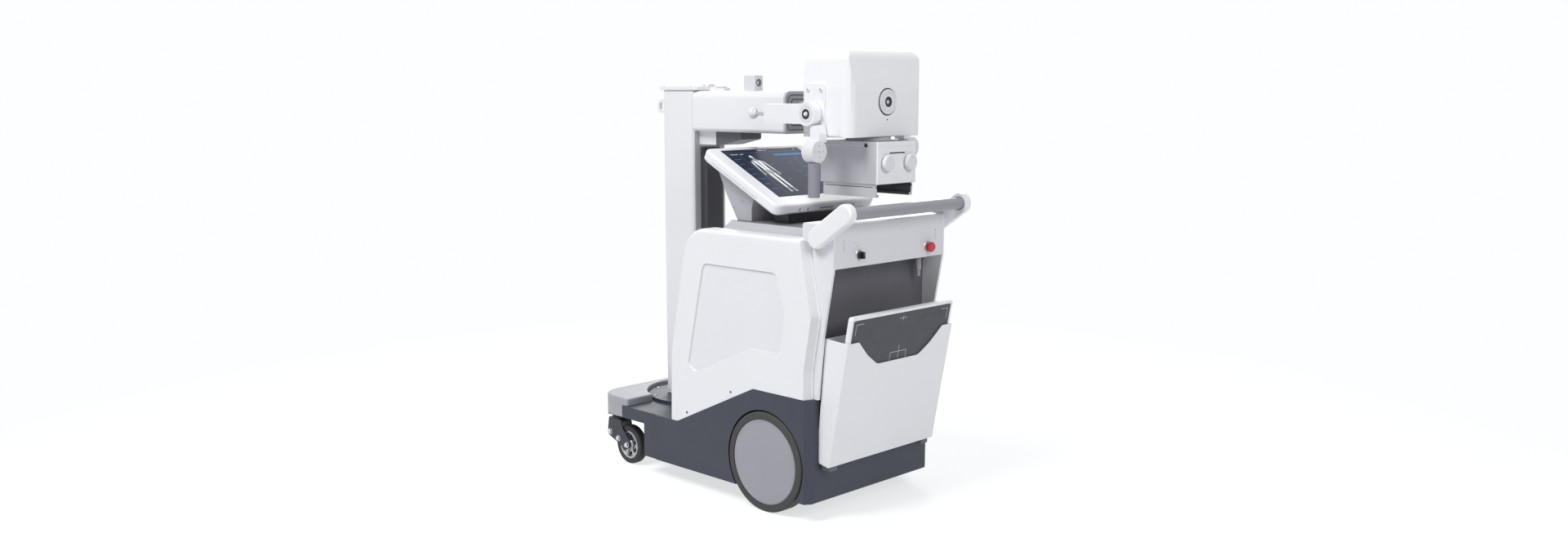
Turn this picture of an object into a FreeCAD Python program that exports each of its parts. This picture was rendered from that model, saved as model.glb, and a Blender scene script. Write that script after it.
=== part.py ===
"""Mobile x-ray machine: a motor cart with a turning, rising column, a telescopic arm and a tube head.

Millimetres. X is across the cart, +Y is the way it drives (the column end), +Z is up.
The origin is on the floor under the middle of the machine.
"""

import FreeCAD, Part
import math
import os

Vector = FreeCAD.Vector

# Gaps that every fit uses
seat_gap = 0.3
running_gap = 0.05
slide_gap = 0.5

# The flat detector, which sets the width of the bin, the console and the machine
detector_width = 460.0
detector_height = 384.0
detector_thickness = 15.0
detector_border = 9.0

# Detector bin
bin_wall = 3.5
bin_play = 4.5
bin_half_width = detector_width / 2 + bin_play + bin_wall
bin_front_top_y = -446.0
bin_front_top_z = 547.0
bin_front_bottom_y = -414.0
bin_front_bottom_z = 177.0
bin_face_top_y = -533.0
bin_face_drop = 6.0
bin_face_top_z = bin_front_top_z - bin_face_drop
bin_face_bottom_y = -463.0
bin_face_bottom_z = 168.0
bin_floor_z = 237.0
notch_half_width = 102.0
notch_shoulder = 92.0
notch_depth = 78.0
bracket_drop = 14.0

# Widths of the console and the lower housing round the bin
console_beside_bin = 12.0
console_half_width = bin_half_width + console_beside_bin
panel_beside_console = 31.5
chassis_half_width = console_half_width + panel_beside_console

# Chassis: the dark lower housing on its four wheels
chassis_rear_y = -422.0
chassis_front_y = 322.0
chassis_bottom_z = 57.0
chassis_front_top_z = 206.0
chassis_rear_top_z = 366.5
chassis_slope_front_y = 150.0
chassis_slope_rear_y = -194.0
chassis_corner_across = 26.0
chassis_corner_along = 18.0
chassis_wall = 5.0
chassis_nose_inset = 3.0
chassis_inset_start_y = 260.0
nose_bottom_z = 165.0
nose_shoulder_y = 432.0
nose_tip_y = 545.0

# Driving wheels at the operator's end
drive_wheel_radius = 152.0
drive_wheel_width = 52.0
drive_wheel_y = -243.0
drive_wheel_proud = 3.0
drive_tyre_depth = 22.0
drive_hub_radius = drive_wheel_radius - drive_tyre_depth
drive_hub_recess = 2.0
drive_arch_gap = 5.0
drive_axle_radius = 16.0
drive_motor_radius = 48.0
drive_motor_length = 92.0

# Swivel casters at the column end
caster_inset = 46.5
caster_across = chassis_half_width - caster_inset
caster_stem_y = 500.0
caster_trail = 60.0
caster_wheel_radius = 65.0
caster_wheel_width = 30.0
caster_tyre_depth = 18.0
caster_rim_radius = caster_wheel_radius - caster_tyre_depth
caster_rim_bore_radius = 13.0
caster_spokes = 6
caster_axle_radius = 6.0
caster_cheek_thickness = 4.0
caster_cheek_gap = 3.0
caster_crown_drop = 27.0
caster_crown_z = nose_bottom_z - caster_crown_drop
caster_crown_thickness = 8.0
caster_stem_radius = 12.0
caster_stem_depth = 22.0
caster_plate_half_width = 32.0
caster_plate_thickness = 5.0
caster_nut_radius = 7.5

# Bumper: the grey hood over the casters
bumper_inset = 6.5
bumper_half_width = chassis_half_width - bumper_inset
bumper_front_y = 573.0
bumper_rear_y = 414.0
bumper_skirt_rear_y = 440.0
bumper_thickness = 24.0
bumper_top_z = chassis_front_top_z + bumper_thickness
bumper_corner_radius = 85.0
bumper_wall = 16.0
bumper_cut_radius = 170.0

# Cabinet: the white upper body
panel_depth = 55.5
panel_inner = chassis_half_width - panel_depth
panel_face = 4.0
panel_skin = 9.0
panel_top_z = 829.0
panel_front_y = 187.0
panel_knee_z = 427.0
panel_front_top_y = 102.0
panel_front_top_radius = 100.0
panel_edge_radius = 14.0
panel_rear_top_y = -385.0
panel_rear_waist_y = -431.0
panel_rear_waist_z = 608.0
panel_rear_low_y = -402.0
panel_rear_low_z = 449.0
panel_corner_across = 24.0
panel_corner_along = 10.0
window_depth = 5.0
window_front_y = 21.0
window_rear_y = -288.0
window_top_drop = 108.0
window_top_z = panel_top_z - window_top_drop
window_waist_z = 488.0
window_low_z = 382.0
window_waist_step = 206.0
cover_inset = 8.0
cover_wall = 4.0
deck_thickness = 30.0
deck_side_gap = 11.0
deck_half_width = panel_inner - deck_side_gap
deck_front_y = 14.0
deck_bevel = 22.0

# Console at the operator's end
console_rear_y = -486.7
console_front_y = -368.0
console_rise = 45.0
console_height = 126.0
console_top_z = panel_top_z + console_rise
console_bottom_z = console_top_z - console_height
console_wall = 8.0
fascia_thickness = 3.0
cheek_low_drop = 200.0
cheek_low_z = console_bottom_z - cheek_low_drop
cheek_low_y = -449.0
recess_wall_y = -412.0
recess_thickness = 4.0
key_side_gap = 107.0
key_across = key_side_gap - console_half_width
key_rise = 34.0
key_z = console_bottom_z + key_rise
key_radius = 13.0
stop_side_gap = 81.0
stop_across = console_half_width - stop_side_gap
stop_rise = 31.0
stop_z = console_bottom_z + stop_rise
stop_radius = 15.0
stop_travel = 5.0
socket_side_gap = 64.0
socket_across = console_half_width - socket_side_gap
socket_y = -440.0

# Handle
handle_y = -542.0
handle_rise = 34.0
handle_z = console_top_z + handle_rise
handle_radius = 17.5
pod_low_y = -436.0
pod_low_drop = 39.0
pod_low_z = console_top_z - pod_low_drop
pod_radius = 30.0
pod_inner = console_half_width + seat_gap
pod_thickness = 24.0
pod_socket = 7.0

# Monitor on its pedestal
pedestal_inset = 35.0
pedestal_half_width = deck_half_width - pedestal_inset
pedestal_wall = 6.0
pedestal_foot_rear_y = -87.0
pedestal_foot_front_y = -25.0
pedestal_knee_y = 23.0
rest_block_inset = 32.0
rest_block_half_width = pedestal_half_width - rest_block_inset
rest_block_start = 14.0
rest_block_end = 80.0
monitor_overhang = 42.0
monitor_half_width = pedestal_half_width + monitor_overhang
monitor_near_y = -240.0
monitor_far_y = 80.0
monitor_rise = 57.7
monitor_near_z = panel_top_z - cover_inset + seat_gap + deck_thickness + monitor_rise
monitor_slope = 0.5
monitor_thickness = 35.0
monitor_corner_radius = 26.0
screen_side_margin = 51.0
screen_half_width = monitor_half_width - screen_side_margin
screen_near_margin = 50.0
screen_far_margin = 20.0

# Arm: a housing with two telescopic stages
arm_over_console = 304.0
arm_z = console_top_z + arm_over_console
arm_half_width = 75.0
arm_half_height = 65.0
arm_rear_y = -126.0
arm_wall = 6.0
arm_edge_radius = 24.0
arm_collar_depth = 8.0
stage_step = 13.5
stage_wall = 5.0
stage_1_length = 392.0
stage_2_length = 372.0
stage_end_proud = 2.0
neck_half_width = 45.0
gusset_rear_y = 100.0
gusset_knee_y = 188.0
gusset_depth = 43.0
gusset_rear_depth = 24.0
camera_half_width = 20.5
camera_depth = 49.0
camera_height = 49.0
camera_rear_y = 64.5
camera_lens_radius = 8.0

# Column and its turntable
column_y = 373.0
column_half_width = 75.0
column_wall = 6.0
column_corner_radius = 14.0
turntable_rise = 11.0
column_bottom_z = chassis_front_top_z + turntable_rise
column_over_arm = 2.0
column_top_z = arm_z + arm_half_height + column_over_arm
column_slot_half_width = 46.5
column_slot_play = 8.0
column_slot_z = arm_z - arm_half_height - gusset_depth - column_slot_play
turntable_radius = 163.0
spigot_radius = 48.0
spigot_length = 46.0
bearing_wall = 22.0
cable_cover_half_width = 40.0
cable_cover_depth = 29.0
cable_cover_rise = 23.0
cable_cover_bottom_z = column_bottom_z + cable_cover_rise
hook_drop = 28.0
hook_height = 48.0
hook_reach = 38.0
hook_wall = 9.0
hook_side = -64.0
hook_width = 14.0

# Mast: the inner column that rises
mast_half_width = 66.0
mast_wall = 5.0
mast_rise = 113.0
mast_bottom_z = column_bottom_z + mast_rise
mast_corner_radius = 9.0
cap_thickness = 12.0
cap_front_overhang = 20.0
cap_rear_overhang = 14.0
lift_tube_radius = 24.0
lift_rod_radius = 16.0
lift_tube_length = 760.0

# Tube head, placed from its tilt axis
tilt_y = -340.0
head_front_depth = 53.0
head_front_y = tilt_y + head_front_depth
head_rear_depth = 126.0
head_rear_y = tilt_y - head_rear_depth
head_drop = 66.0
head_height = 249.0
head_bottom_z = arm_z - head_drop
head_top_z = head_bottom_z + head_height
head_half_width_bottom = 169.5
head_taper = 15.5
head_half_width_top = head_half_width_bottom - head_taper
head_shoulder_radius = 38.0
head_rear_corner_radius = 40.0
head_front_corner_radius = 12.0
head_top_corner_radius = 34.0
head_wall = 5.0
side_plate_half_width = 38.0
side_plate_rise = 87.0
side_plate_drop = 50.0
side_plate_top_z = arm_z + side_plate_rise
side_plate_bottom_z = arm_z - side_plate_drop
side_plate_proud = 3.0
head_dial_rise = 34.0
head_dial_z = arm_z + head_dial_rise
head_dial_radius = 36.0
tube_insert_radius = 62.0
tube_insert_length = 230.0

# Yoke: the fork that carries the tube head
tilt_drum_radius = 28.0
tilt_flange_radius = 36.0
tilt_flange_thickness = 5.0
yoke_side_gap = 2.5
yoke_arm_thickness = 29.0
yoke_inner_half_width = head_half_width_bottom + side_plate_proud + tilt_flange_thickness + yoke_side_gap
yoke_outer_half_width = yoke_inner_half_width + yoke_arm_thickness
yoke_half_height = 28.0
yoke_cross_gap = 44.0
yoke_cross_front_y = arm_rear_y - yoke_cross_gap
yoke_cross_depth = 27.0
yoke_boss_radius = 34.0
roll_shaft_radius = 22.0
roll_flange_radius = 34.0
dial_radius = 26.0
dial_cup_radius = 12.0
dial_ball_radius = 6.0
lock_knob_radius = 17.0
lock_knob_length = 28.0
lock_shaft_radius = 6.0
lock_shaft_length = 42.0

# Collimator and its accessory rails
collimator_half_width = 87.5
collimator_offset = 54.0
collimator_y = tilt_y - collimator_offset
collimator_half_depth = 111.0
collimator_gap = 12.0
collimator_height = 121.0
collimator_top_z = head_bottom_z - collimator_gap
collimator_bottom_z = collimator_top_z - collimator_height
collimator_wall = 4.0
collimator_window = 62.0
collimator_ring_radius = 66.0
collimator_knob_radius = 23.5
collimator_knob_across = 50.0
collimator_knob_drop = 61.0
collimator_knob_z = collimator_top_z - collimator_knob_drop
collimator_knob_thickness = 12.0
collimator_knob_neck = 5.0
collimator_slot_drop = 33.0
collimator_seam_drop = 14.0
lamp_button_radius = 5.5
lamp_button_travel = 2.0
lamp_button_offset = 68.0
lamp_button_y = collimator_y - lamp_button_offset
lamp_button_drop = 11.0
lamp_button_z = collimator_top_z - lamp_button_drop
rail_half_width = 84.0
rail_front_offset = 103.0
rail_rear_offset = 101.0
rail_front_y = collimator_y + rail_front_offset
rail_rear_y = collimator_y - rail_rear_offset
rail_height = 38.0
rail_bottom_z = collimator_bottom_z - rail_height
rail_wall = 8.0
rail_groove = 4.0
blade_thickness = 3.0
window_thickness = 3.0

# Hand pads and grips beside the collimator
grip_inset = 1.0
grip_across = yoke_outer_half_width - grip_inset
grip_offset = 32.0
grip_y = tilt_y - grip_offset
grip_radius = 17.0
pad_drop = 105.0
pad_z = arm_z - pad_drop
pad_radius = 32.0
pad_thickness = 42.0
grip_length = 131.0
grip_bottom_z = pad_z - grip_length
bracket_thickness = 6.0
bracket_foot_drop = 80.0
bracket_foot_z = arm_z - bracket_foot_drop

# Inside the cabinet
battery_rear_gap = 30.0
battery_length = 250.0
battery_half_width = 92.0
battery_height = 150.0
generator_half_width = 130.0
generator_length = 215.0
generator_height = 190.0


def point_at(axis, place, a, b):
    """The point (a, b) on the plane that lies at `place` along `axis`."""
    if axis == "x":
        return Vector(place, a, b)
    if axis == "y":
        return Vector(a, place, b)
    return Vector(a, b, place)


def outline(points, axis, place):
    """A closed wire through (a, b, corner radius) points on a plane across `axis`."""
    count = len(points)
    starts = []
    ends = []
    middles = []
    for index in range(count):
        a, b, radius = points[index]
        corner = Vector(a, b, 0)
        before = Vector(points[index - 1][0], points[index - 1][1], 0).sub(corner)
        after = Vector(points[(index + 1) % count][0], points[(index + 1) % count][1], 0).sub(corner)
        before.normalize()
        after.normalize()
        half = before.getAngle(after) / 2
        if radius <= 0 or half > math.radians(89.5):
            starts.append(corner)
            ends.append(corner)
            middles.append(None)
            continue
        reach = radius / math.tan(half)
        bisector = before.add(after)
        bisector.normalize()
        starts.append(corner.add(before.multiply(reach)))
        ends.append(corner.add(after.multiply(reach)))
        middles.append(corner.add(bisector.multiply(radius / math.sin(half) - radius)))
    edges = []
    for index in range(count):
        start = point_at(axis, place, starts[index].x, starts[index].y)
        end = point_at(axis, place, ends[index].x, ends[index].y)
        if middles[index] is not None:
            middle = point_at(axis, place, middles[index].x, middles[index].y)
            edges.append(Part.Arc(start, middle, end).toShape())
        following = starts[(index + 1) % count]
        target = point_at(axis, place, following.x, following.y)
        if end.distanceToPoint(target) > 1e-6:
            edges.append(Part.LineSegment(end, target).toShape())
    return Part.Wire(edges)


def plate(points, axis, low, high):
    """A prism of an outline between two places along an axis."""
    way = {"x": Vector(1, 0, 0), "y": Vector(0, 1, 0), "z": Vector(0, 0, 1)}[axis]
    return Part.Face(outline(points, axis, low)).extrude(way.multiply(high - low))


def loft(points_low, points_high, axis, low, high):
    """A ruled solid between two outlines with as many points."""
    wires = [outline(points_low, axis, low), outline(points_high, axis, high)]
    return Part.makeLoft(wires, True, True)


def block(x_low, x_high, y_low, y_high, z_low, z_high):
    """A plain box from its limits."""
    size = (x_high - x_low, y_high - y_low, z_high - z_low)
    return Part.makeBox(size[0], size[1], size[2], Vector(x_low, y_low, z_low))


def frame_points(a_low, a_high, b_low, b_high, radius):
    """The four rounded corners of a rectangle."""
    low = [(a_low, b_low, radius), (a_high, b_low, radius)]
    high = [(a_high, b_high, radius), (a_low, b_high, radius)]
    return low + high


def rod(radius, start, end):
    """A round bar between two points."""
    way = end.sub(start)
    return Part.makeCylinder(radius, way.Length, start, way)


def ring(outer, inner, start, end):
    """A round tube between two points."""
    return rod(outer, start, end).cut(rod(inner, start, end))


def turned(profile, centre, way):
    """A solid of revolution of (radius, height) points about an axis through `centre`."""
    points = [Vector(radius, 0, height) for radius, height in profile]
    wire = Part.makePolygon(points + [points[0]])
    solid = Part.Face(wire).revolve(Vector(0, 0, 0), Vector(0, 0, 1), 360)
    placed = solid.copy()
    placed.Placement = FreeCAD.Placement(centre, FreeCAD.Rotation(Vector(0, 0, 1), way))
    return placed


def mirrored(shape):
    """The same shape on the other side of the machine."""
    return shape.mirror(Vector(0, 0, 0), Vector(1, 0, 0))


def joined(shapes):
    """One solid from pieces that touch or overlap."""
    whole = shapes[0].fuse(shapes[1:])
    return whole.removeSplitter()


def group(shapes):
    """Separate solids that share one node."""
    return Part.makeCompound(shapes)


def on_line(start, end, height):
    """The first coordinate at a height on the line between two (a, b) points."""
    share = (height - start[1]) / (end[1] - start[1])
    return start[0] + share * (end[0] - start[0])


def chassis_profile(inset):
    """The side outline of the lower housing, drawn in by a wall."""
    bottom = chassis_bottom_z + inset
    lean = inset * 0.4
    return [
        (chassis_rear_y + inset, bottom, 6),
        (chassis_front_y - inset, bottom, 6),
        (chassis_front_y - inset, nose_bottom_z + inset, 0),
        (nose_shoulder_y - inset, nose_bottom_z + inset, 0),
        (nose_shoulder_y - inset, chassis_front_top_z - inset, 0),
        (chassis_slope_front_y - lean, chassis_front_top_z - inset, 20),
        (chassis_slope_rear_y - lean, chassis_rear_top_z - inset, 20),
        (chassis_rear_y + inset, chassis_rear_top_z - inset, 4),
    ]


def chassis_plan(inset):
    """The outline of the lower housing seen from above, drawn in by a wall."""
    half = chassis_half_width - inset
    narrow = half - chassis_nose_inset
    rear = chassis_rear_y + inset
    return [
        (-half + chassis_corner_across, rear, 3),
        (half - chassis_corner_across, rear, 3),
        (half, rear + chassis_corner_along, 3),
        (half, chassis_inset_start_y, 0),
        (narrow, chassis_inset_start_y, 0),
        (narrow, nose_shoulder_y, 0),
        (-narrow, nose_shoulder_y, 0),
        (-narrow, chassis_inset_start_y, 0),
        (-half, chassis_inset_start_y, 0),
        (-half, rear + chassis_corner_along, 3),
    ]


def chassis_base():
    """The dark housing, hollow, with a bay for each driving wheel and the nose under the bumper."""
    half = chassis_half_width
    outer = plate(chassis_profile(0), "x", -half, half)
    outer = outer.common(plate(chassis_plan(0), "z", 0, chassis_rear_top_z + 1))
    inner = plate(chassis_profile(chassis_wall), "x", -half, half)
    inner = inner.common(plate(chassis_plan(chassis_wall), "z", 0, chassis_rear_top_z + 1))
    arch_radius = drive_wheel_radius + drive_arch_gap
    bay_inner = half + drive_wheel_proud - drive_wheel_width - drive_arch_gap
    for side in (-1, 1):
        start = Vector(side * (bay_inner - chassis_wall), drive_wheel_y, drive_wheel_radius)
        shell_end = Vector(side * (half + 1), drive_wheel_y, drive_wheel_radius)
        inner = inner.cut(rod(arch_radius + chassis_wall, start, shell_end))
    body = outer.cut(inner)
    nose_half = bumper_half_width - bumper_wall - 2 * slide_gap
    nose_top = chassis_front_top_z
    nose_points = [
        (-nose_half, nose_shoulder_y, 0),
        (nose_half, nose_shoulder_y, 0),
        (nose_half, nose_tip_y, bumper_corner_radius - bumper_wall),
        (-nose_half, nose_tip_y, bumper_corner_radius - bumper_wall),
    ]
    body = body.fuse(plate(nose_points, "z", nose_bottom_z, nose_top))
    for side in (-1, 1):
        start = Vector(side * bay_inner, drive_wheel_y, drive_wheel_radius)
        end = Vector(side * (half + 1), drive_wheel_y, drive_wheel_radius)
        body = body.cut(rod(arch_radius, start, end))
        axle_hole = Vector(side * (bay_inner - 2 * chassis_wall), drive_wheel_y, drive_wheel_radius)
        body = body.cut(rod(drive_axle_radius + seat_gap, axle_hole, start))
        stem = Vector(side * caster_across, caster_stem_y, nose_bottom_z)
        stem_hole = Vector(0, 0, caster_stem_depth + 2)
        body = body.cut(rod(caster_stem_radius + running_gap, stem, stem.add(stem_hole)))
    pocket_radius = spigot_radius + bearing_wall + seat_gap
    pocket_top = Vector(0, column_y, chassis_front_top_z)
    pocket_low = Vector(0, column_y, column_bottom_z - spigot_length - seat_gap)
    pocket = rod(pocket_radius, pocket_low, pocket_top.add(Vector(0, 0, 1)))
    body = body.cut(pocket)
    return body.removeSplitter()


def turntable_ring():
    """The round dark plate that the column turns on, with its bearing housing let into the chassis."""
    low = Vector(0, column_y, chassis_front_top_z + seat_gap)
    high = Vector(0, column_y, column_bottom_z - seat_gap)
    body = rod(turntable_radius, low, high)
    deep = Vector(0, column_y, column_bottom_z - spigot_length)
    body = body.fuse(rod(spigot_radius + bearing_wall, deep, low))
    body = body.cut(rod(spigot_radius + running_gap, deep.add(Vector(0, 0, -1)), high.add(Vector(0, 0, 1))))
    return body.removeSplitter()


def bumper():
    """The grey hood: a slab with a round cut-out for the column and a skirt round the front."""
    half = bumper_half_width
    low = chassis_front_top_z + seat_gap
    front = [(half, bumper_front_y, bumper_corner_radius), (-half, bumper_front_y, bumper_corner_radius)]
    slab = plate([(-half, bumper_rear_y, 8), (half, bumper_rear_y, 8)] + front, "z", low, bumper_top_z)
    skirt_points = [(-half, bumper_skirt_rear_y, 0), (half, bumper_skirt_rear_y, 0)] + front
    skirt = plate(skirt_points, "z", nose_bottom_z, bumper_top_z)
    body = slab.fuse(skirt).removeSplitter()
    inner_half = half - bumper_wall
    inner_radius = bumper_corner_radius - bumper_wall
    pocket_points = [
        (-inner_half, bumper_rear_y - 10, 0),
        (inner_half, bumper_rear_y - 10, 0),
        (inner_half, bumper_front_y - bumper_wall, inner_radius),
        (-inner_half, bumper_front_y - bumper_wall, inner_radius),
    ]
    body = body.cut(plate(pocket_points, "z", nose_bottom_z - 1, low))
    axis = Vector(0, column_y, nose_bottom_z - 1)
    body = body.cut(rod(bumper_cut_radius, axis, Vector(0, column_y, bumper_top_z + 1)))
    rim = [edge for edge in body.Edges if abs(edge.CenterOfMass.z - bumper_top_z) < 0.01]
    return body.makeFillet(6, rim)


def drive_tyre(side):
    """A driving tyre with rounded shoulders."""
    outer = chassis_half_width + drive_wheel_proud
    inner = outer - drive_wheel_width
    radius = drive_wheel_radius
    body = ring(radius, drive_hub_radius, Vector(inner, 0, 0), Vector(outer, 0, 0))
    shoulders = [edge for edge in body.Edges if abs(edge.BoundBox.ZMax - radius) < 0.01]
    shoulders = [edge for edge in shoulders if edge.BoundBox.XLength < 1]
    body = body.makeFillet(7, shoulders)
    body.translate(Vector(0, drive_wheel_y, radius))
    return body if side > 0 else mirrored(body)


def drive_hub(side):
    """A driving wheel's flat hub disc with the boss that runs on its axle."""
    outer = chassis_half_width + drive_wheel_proud - drive_hub_recess
    inner = chassis_half_width + drive_wheel_proud - drive_wheel_width
    depth = outer - inner
    radius = drive_hub_radius - seat_gap / 10
    profile = [
        (drive_axle_radius + running_gap, 0),
        (drive_axle_radius * 2.2, 0),
        (drive_axle_radius * 2.2, depth - 14),
        (radius - 10, depth - 14),
        (radius - 10, 6),
        (radius, 6),
        (radius, depth - 2),
        (radius - 2, depth),
        (0, depth),
        (0, depth - 8),
        (drive_axle_radius + running_gap, depth - 8),
    ]
    body = turned(profile, Vector(inner, drive_wheel_y, drive_wheel_radius), Vector(1, 0, 0))
    return body if side > 0 else mirrored(body)


def drive_axle(side):
    """The stub axle and gear motor behind a driving wheel."""
    bay_inner = chassis_half_width + drive_wheel_proud - drive_wheel_width - drive_arch_gap
    hub_outer = chassis_half_width + drive_wheel_proud - drive_hub_recess
    motor_end = bay_inner - chassis_wall - seat_gap
    height = drive_wheel_radius
    start = Vector(motor_end - drive_motor_length, drive_wheel_y, height)
    middle = Vector(motor_end, drive_wheel_y, height)
    end = Vector(hub_outer - 10, drive_wheel_y, height)
    body = joined([rod(drive_motor_radius, start, middle), rod(drive_axle_radius, middle, end)])
    return body if side > 0 else mirrored(body)


def caster_wheel_y():
    """How far forward a caster's axle is."""
    return caster_stem_y - caster_trail


def caster_tyre(side):
    """The black tread of a caster."""
    half = caster_wheel_width / 2
    start = Vector(side * caster_across - half, caster_wheel_y(), caster_wheel_radius)
    end = Vector(side * caster_across + half, caster_wheel_y(), caster_wheel_radius)
    body = ring(caster_wheel_radius, caster_rim_radius, start, end)
    edges = [edge for edge in body.Edges if edge.BoundBox.ZMax > 2 * caster_wheel_radius - 0.01]
    edges = [edge for edge in edges if edge.BoundBox.XLength < 1]
    return body.makeFillet(6, edges)


def caster_rim(side):
    """A light metal rim with open windows between its spokes."""
    radius = caster_rim_radius - seat_gap / 10
    half = caster_wheel_width / 2 - 1
    web = half - 5
    inner_rim = radius - 6
    bore = caster_axle_radius + running_gap
    profile = [
        (bore, -half),
        (caster_rim_bore_radius, -half),
        (caster_rim_bore_radius + 3, -web),
        (inner_rim - 3, -web),
        (inner_rim, -half),
        (radius, -half),
        (radius, half),
        (inner_rim, half),
        (inner_rim - 3, web),
        (caster_rim_bore_radius + 3, web),
        (caster_rim_bore_radius, half),
        (bore, half),
    ]
    centre = Vector(side * caster_across, caster_wheel_y(), caster_wheel_radius)
    body = turned(profile, centre, Vector(1, 0, 0))
    hole_circle = (caster_rim_bore_radius + inner_rim) / 2 + 1
    hole_radius = (inner_rim - caster_rim_bore_radius) / 2 - 3
    for index in range(caster_spokes):
        angle = 2 * math.pi * (index + 0.5) / caster_spokes
        offset = Vector(0, hole_circle * math.cos(angle), hole_circle * math.sin(angle))
        start = centre.add(offset).add(Vector(-half - 1, 0, 0))
        body = body.cut(rod(hole_radius, start, start.add(Vector(2 * half + 2, 0, 0))))
    return body


def caster_cheek_places():
    """The inner and outer face of a cheek, measured from the wheel's middle plane."""
    inner = caster_wheel_width / 2 + caster_cheek_gap
    return inner, inner + caster_cheek_thickness


def caster_nut_places():
    """The side view places (y, z) of the three nuts along a cheek."""
    axle = (caster_wheel_y(), caster_wheel_radius)
    front = (caster_stem_y + 28, caster_wheel_radius + 31)
    middle = ((axle[0] + front[0]) / 2, (axle[1] + front[1]) / 2)
    return [axle, middle, front]


def caster_fork(side):
    """A swivel fork: crown, stem and two cheeks that reach back to the axle."""
    axle, middle, front = caster_nut_places()
    crown_low = caster_crown_z
    crown_high = caster_crown_z + caster_crown_thickness
    crown_front = caster_stem_y + 36
    crown_rear = caster_stem_y - 30
    cheek_points = [
        (axle[0] - 15, axle[1] - 10, 12),
        (axle[0] + 9, axle[1] - 17, 12),
        (front[0] + 12, front[1] - 12, 10),
        (front[0] + 14, front[1] + 12, 8),
        (crown_front, crown_high, 0),
        (crown_rear, crown_high, 0),
        (crown_rear - 6, crown_low - 20, 14),
        (axle[0] - 14, axle[1] + 14, 12),
    ]
    inner, outer = caster_cheek_places()
    pieces = []
    for way in (-1, 1):
        faces = sorted((caster_across + way * inner, caster_across + way * outer))
        pieces.append(plate(cheek_points, "x", faces[0], faces[1]))
    crown_across = (caster_across - outer, caster_across + outer)
    pieces.append(block(crown_across[0], crown_across[1], crown_rear, crown_front, crown_low, crown_high))
    stem_low = Vector(caster_across, caster_stem_y, crown_high)
    bearing_high = Vector(caster_across, caster_stem_y, nose_bottom_z - caster_plate_thickness - seat_gap)
    stem_high = Vector(caster_across, caster_stem_y, nose_bottom_z + caster_stem_depth)
    pieces.append(rod(caster_stem_radius + 9, stem_low, bearing_high))
    pieces.append(rod(caster_stem_radius, stem_low, stem_high))
    body = joined(pieces)
    hole = Vector(caster_across - outer - 1, axle[0], axle[1])
    body = body.cut(rod(caster_axle_radius, hole, hole.add(Vector(2 * outer + 2, 0, 0))))
    return body if side > 0 else mirrored(body)


def caster_plate(side):
    """The top plate that holds a caster's stem under the nose."""
    half = caster_plate_half_width
    low = nose_bottom_z - caster_plate_thickness
    high = nose_bottom_z - seat_gap / 10
    across = (caster_across - half, caster_across + half)
    along = (caster_stem_y - half, caster_stem_y + half)
    body = plate(frame_points(across[0], across[1], along[0], along[1], 8), "z", low, high)
    stem = Vector(caster_across, caster_stem_y, low - 1)
    stem_high = Vector(caster_across, caster_stem_y, high + 1)
    body = body.cut(rod(caster_stem_radius + running_gap, stem, stem_high))
    return body if side > 0 else mirrored(body)


def caster_axle(side):
    """The axle bolt of a caster and the dome nuts along both cheeks."""
    inner, outer = caster_cheek_places()
    places = caster_nut_places()
    axle = places[0]
    start = Vector(caster_across - outer, axle[0], axle[1])
    end = Vector(caster_across + outer, axle[0], axle[1])
    pieces = [rod(caster_axle_radius, start, end)]
    profile = [(0, 0), (caster_nut_radius, 0), (caster_nut_radius, 3), (caster_nut_radius - 2, 6.5), (0, 8)]
    for way in (-1, 1):
        for y, z in places:
            face = Vector(caster_across + way * outer, y, z)
            nut = turned(profile, face, Vector(way, 0, 0))
            if (y, z) == axle:
                pieces[0] = pieces[0].fuse(nut)
            else:
                pieces.append(nut)
    body = group(pieces)
    return body if side > 0 else mirrored(body)


def column_outer():
    """The square outer column with its carriage slot, floor plate and turning spigot."""
    half = column_half_width
    wall = column_wall
    points = frame_points(-half, half, column_y - half, column_y + half, column_corner_radius)
    inner_points = frame_points(-half + wall, half - wall, column_y - half + wall, column_y + half - wall,
                                column_corner_radius - wall)
    body = plate(points, "z", column_bottom_z, column_top_z - seat_gap)
    body = body.cut(plate(inner_points, "z", column_bottom_z + 10, column_top_z))
    slot_half = column_slot_half_width
    rear = column_y - half
    slot = block(-slot_half, slot_half, rear - 1, rear + wall + 1, column_slot_z, column_top_z)
    body = body.cut(slot)
    low = Vector(0, column_y, column_bottom_z - spigot_length + seat_gap)
    body = body.fuse(rod(spigot_radius, low, Vector(0, column_y, column_bottom_z)))
    return body.removeSplitter()


def cable_cover():
    """The bowed dark cover on the column's rear face, below the carriage slot."""
    face_y = column_y - column_half_width - seat_gap / 10
    out_y = face_y - cable_cover_depth
    top_z = column_slot_z - 4
    points = [
        (face_y, cable_cover_bottom_z, 0),
        (face_y, top_z, 0),
        (face_y - 6, top_z, 3),
        (out_y, top_z - 62, 60),
        (out_y + 4, cable_cover_bottom_z + 30, 20),
        (face_y - 6, cable_cover_bottom_z, 4),
    ]
    half = cable_cover_half_width
    body = plate(points, "x", -half, half)
    plan = [(-half, face_y, 0), (half, face_y, 0), (half, out_y, 12), (-half, out_y, 12)]
    return body.common(plate(plan, "z", cable_cover_bottom_z, top_z))


def mast():
    """The inner column that rises inside the outer one, with the carriage neck through the slot."""
    half = mast_half_width
    wall = mast_wall
    top = column_top_z
    points = frame_points(-half, half, column_y - half, column_y + half, mast_corner_radius)
    inner_points = frame_points(-half + wall, half - wall, column_y - half + wall, column_y + half - wall,
                                mast_corner_radius - wall)
    body = plate(points, "z", mast_bottom_z, top)
    return body.cut(plate(inner_points, "z", mast_bottom_z - 1, top - wall))


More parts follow.
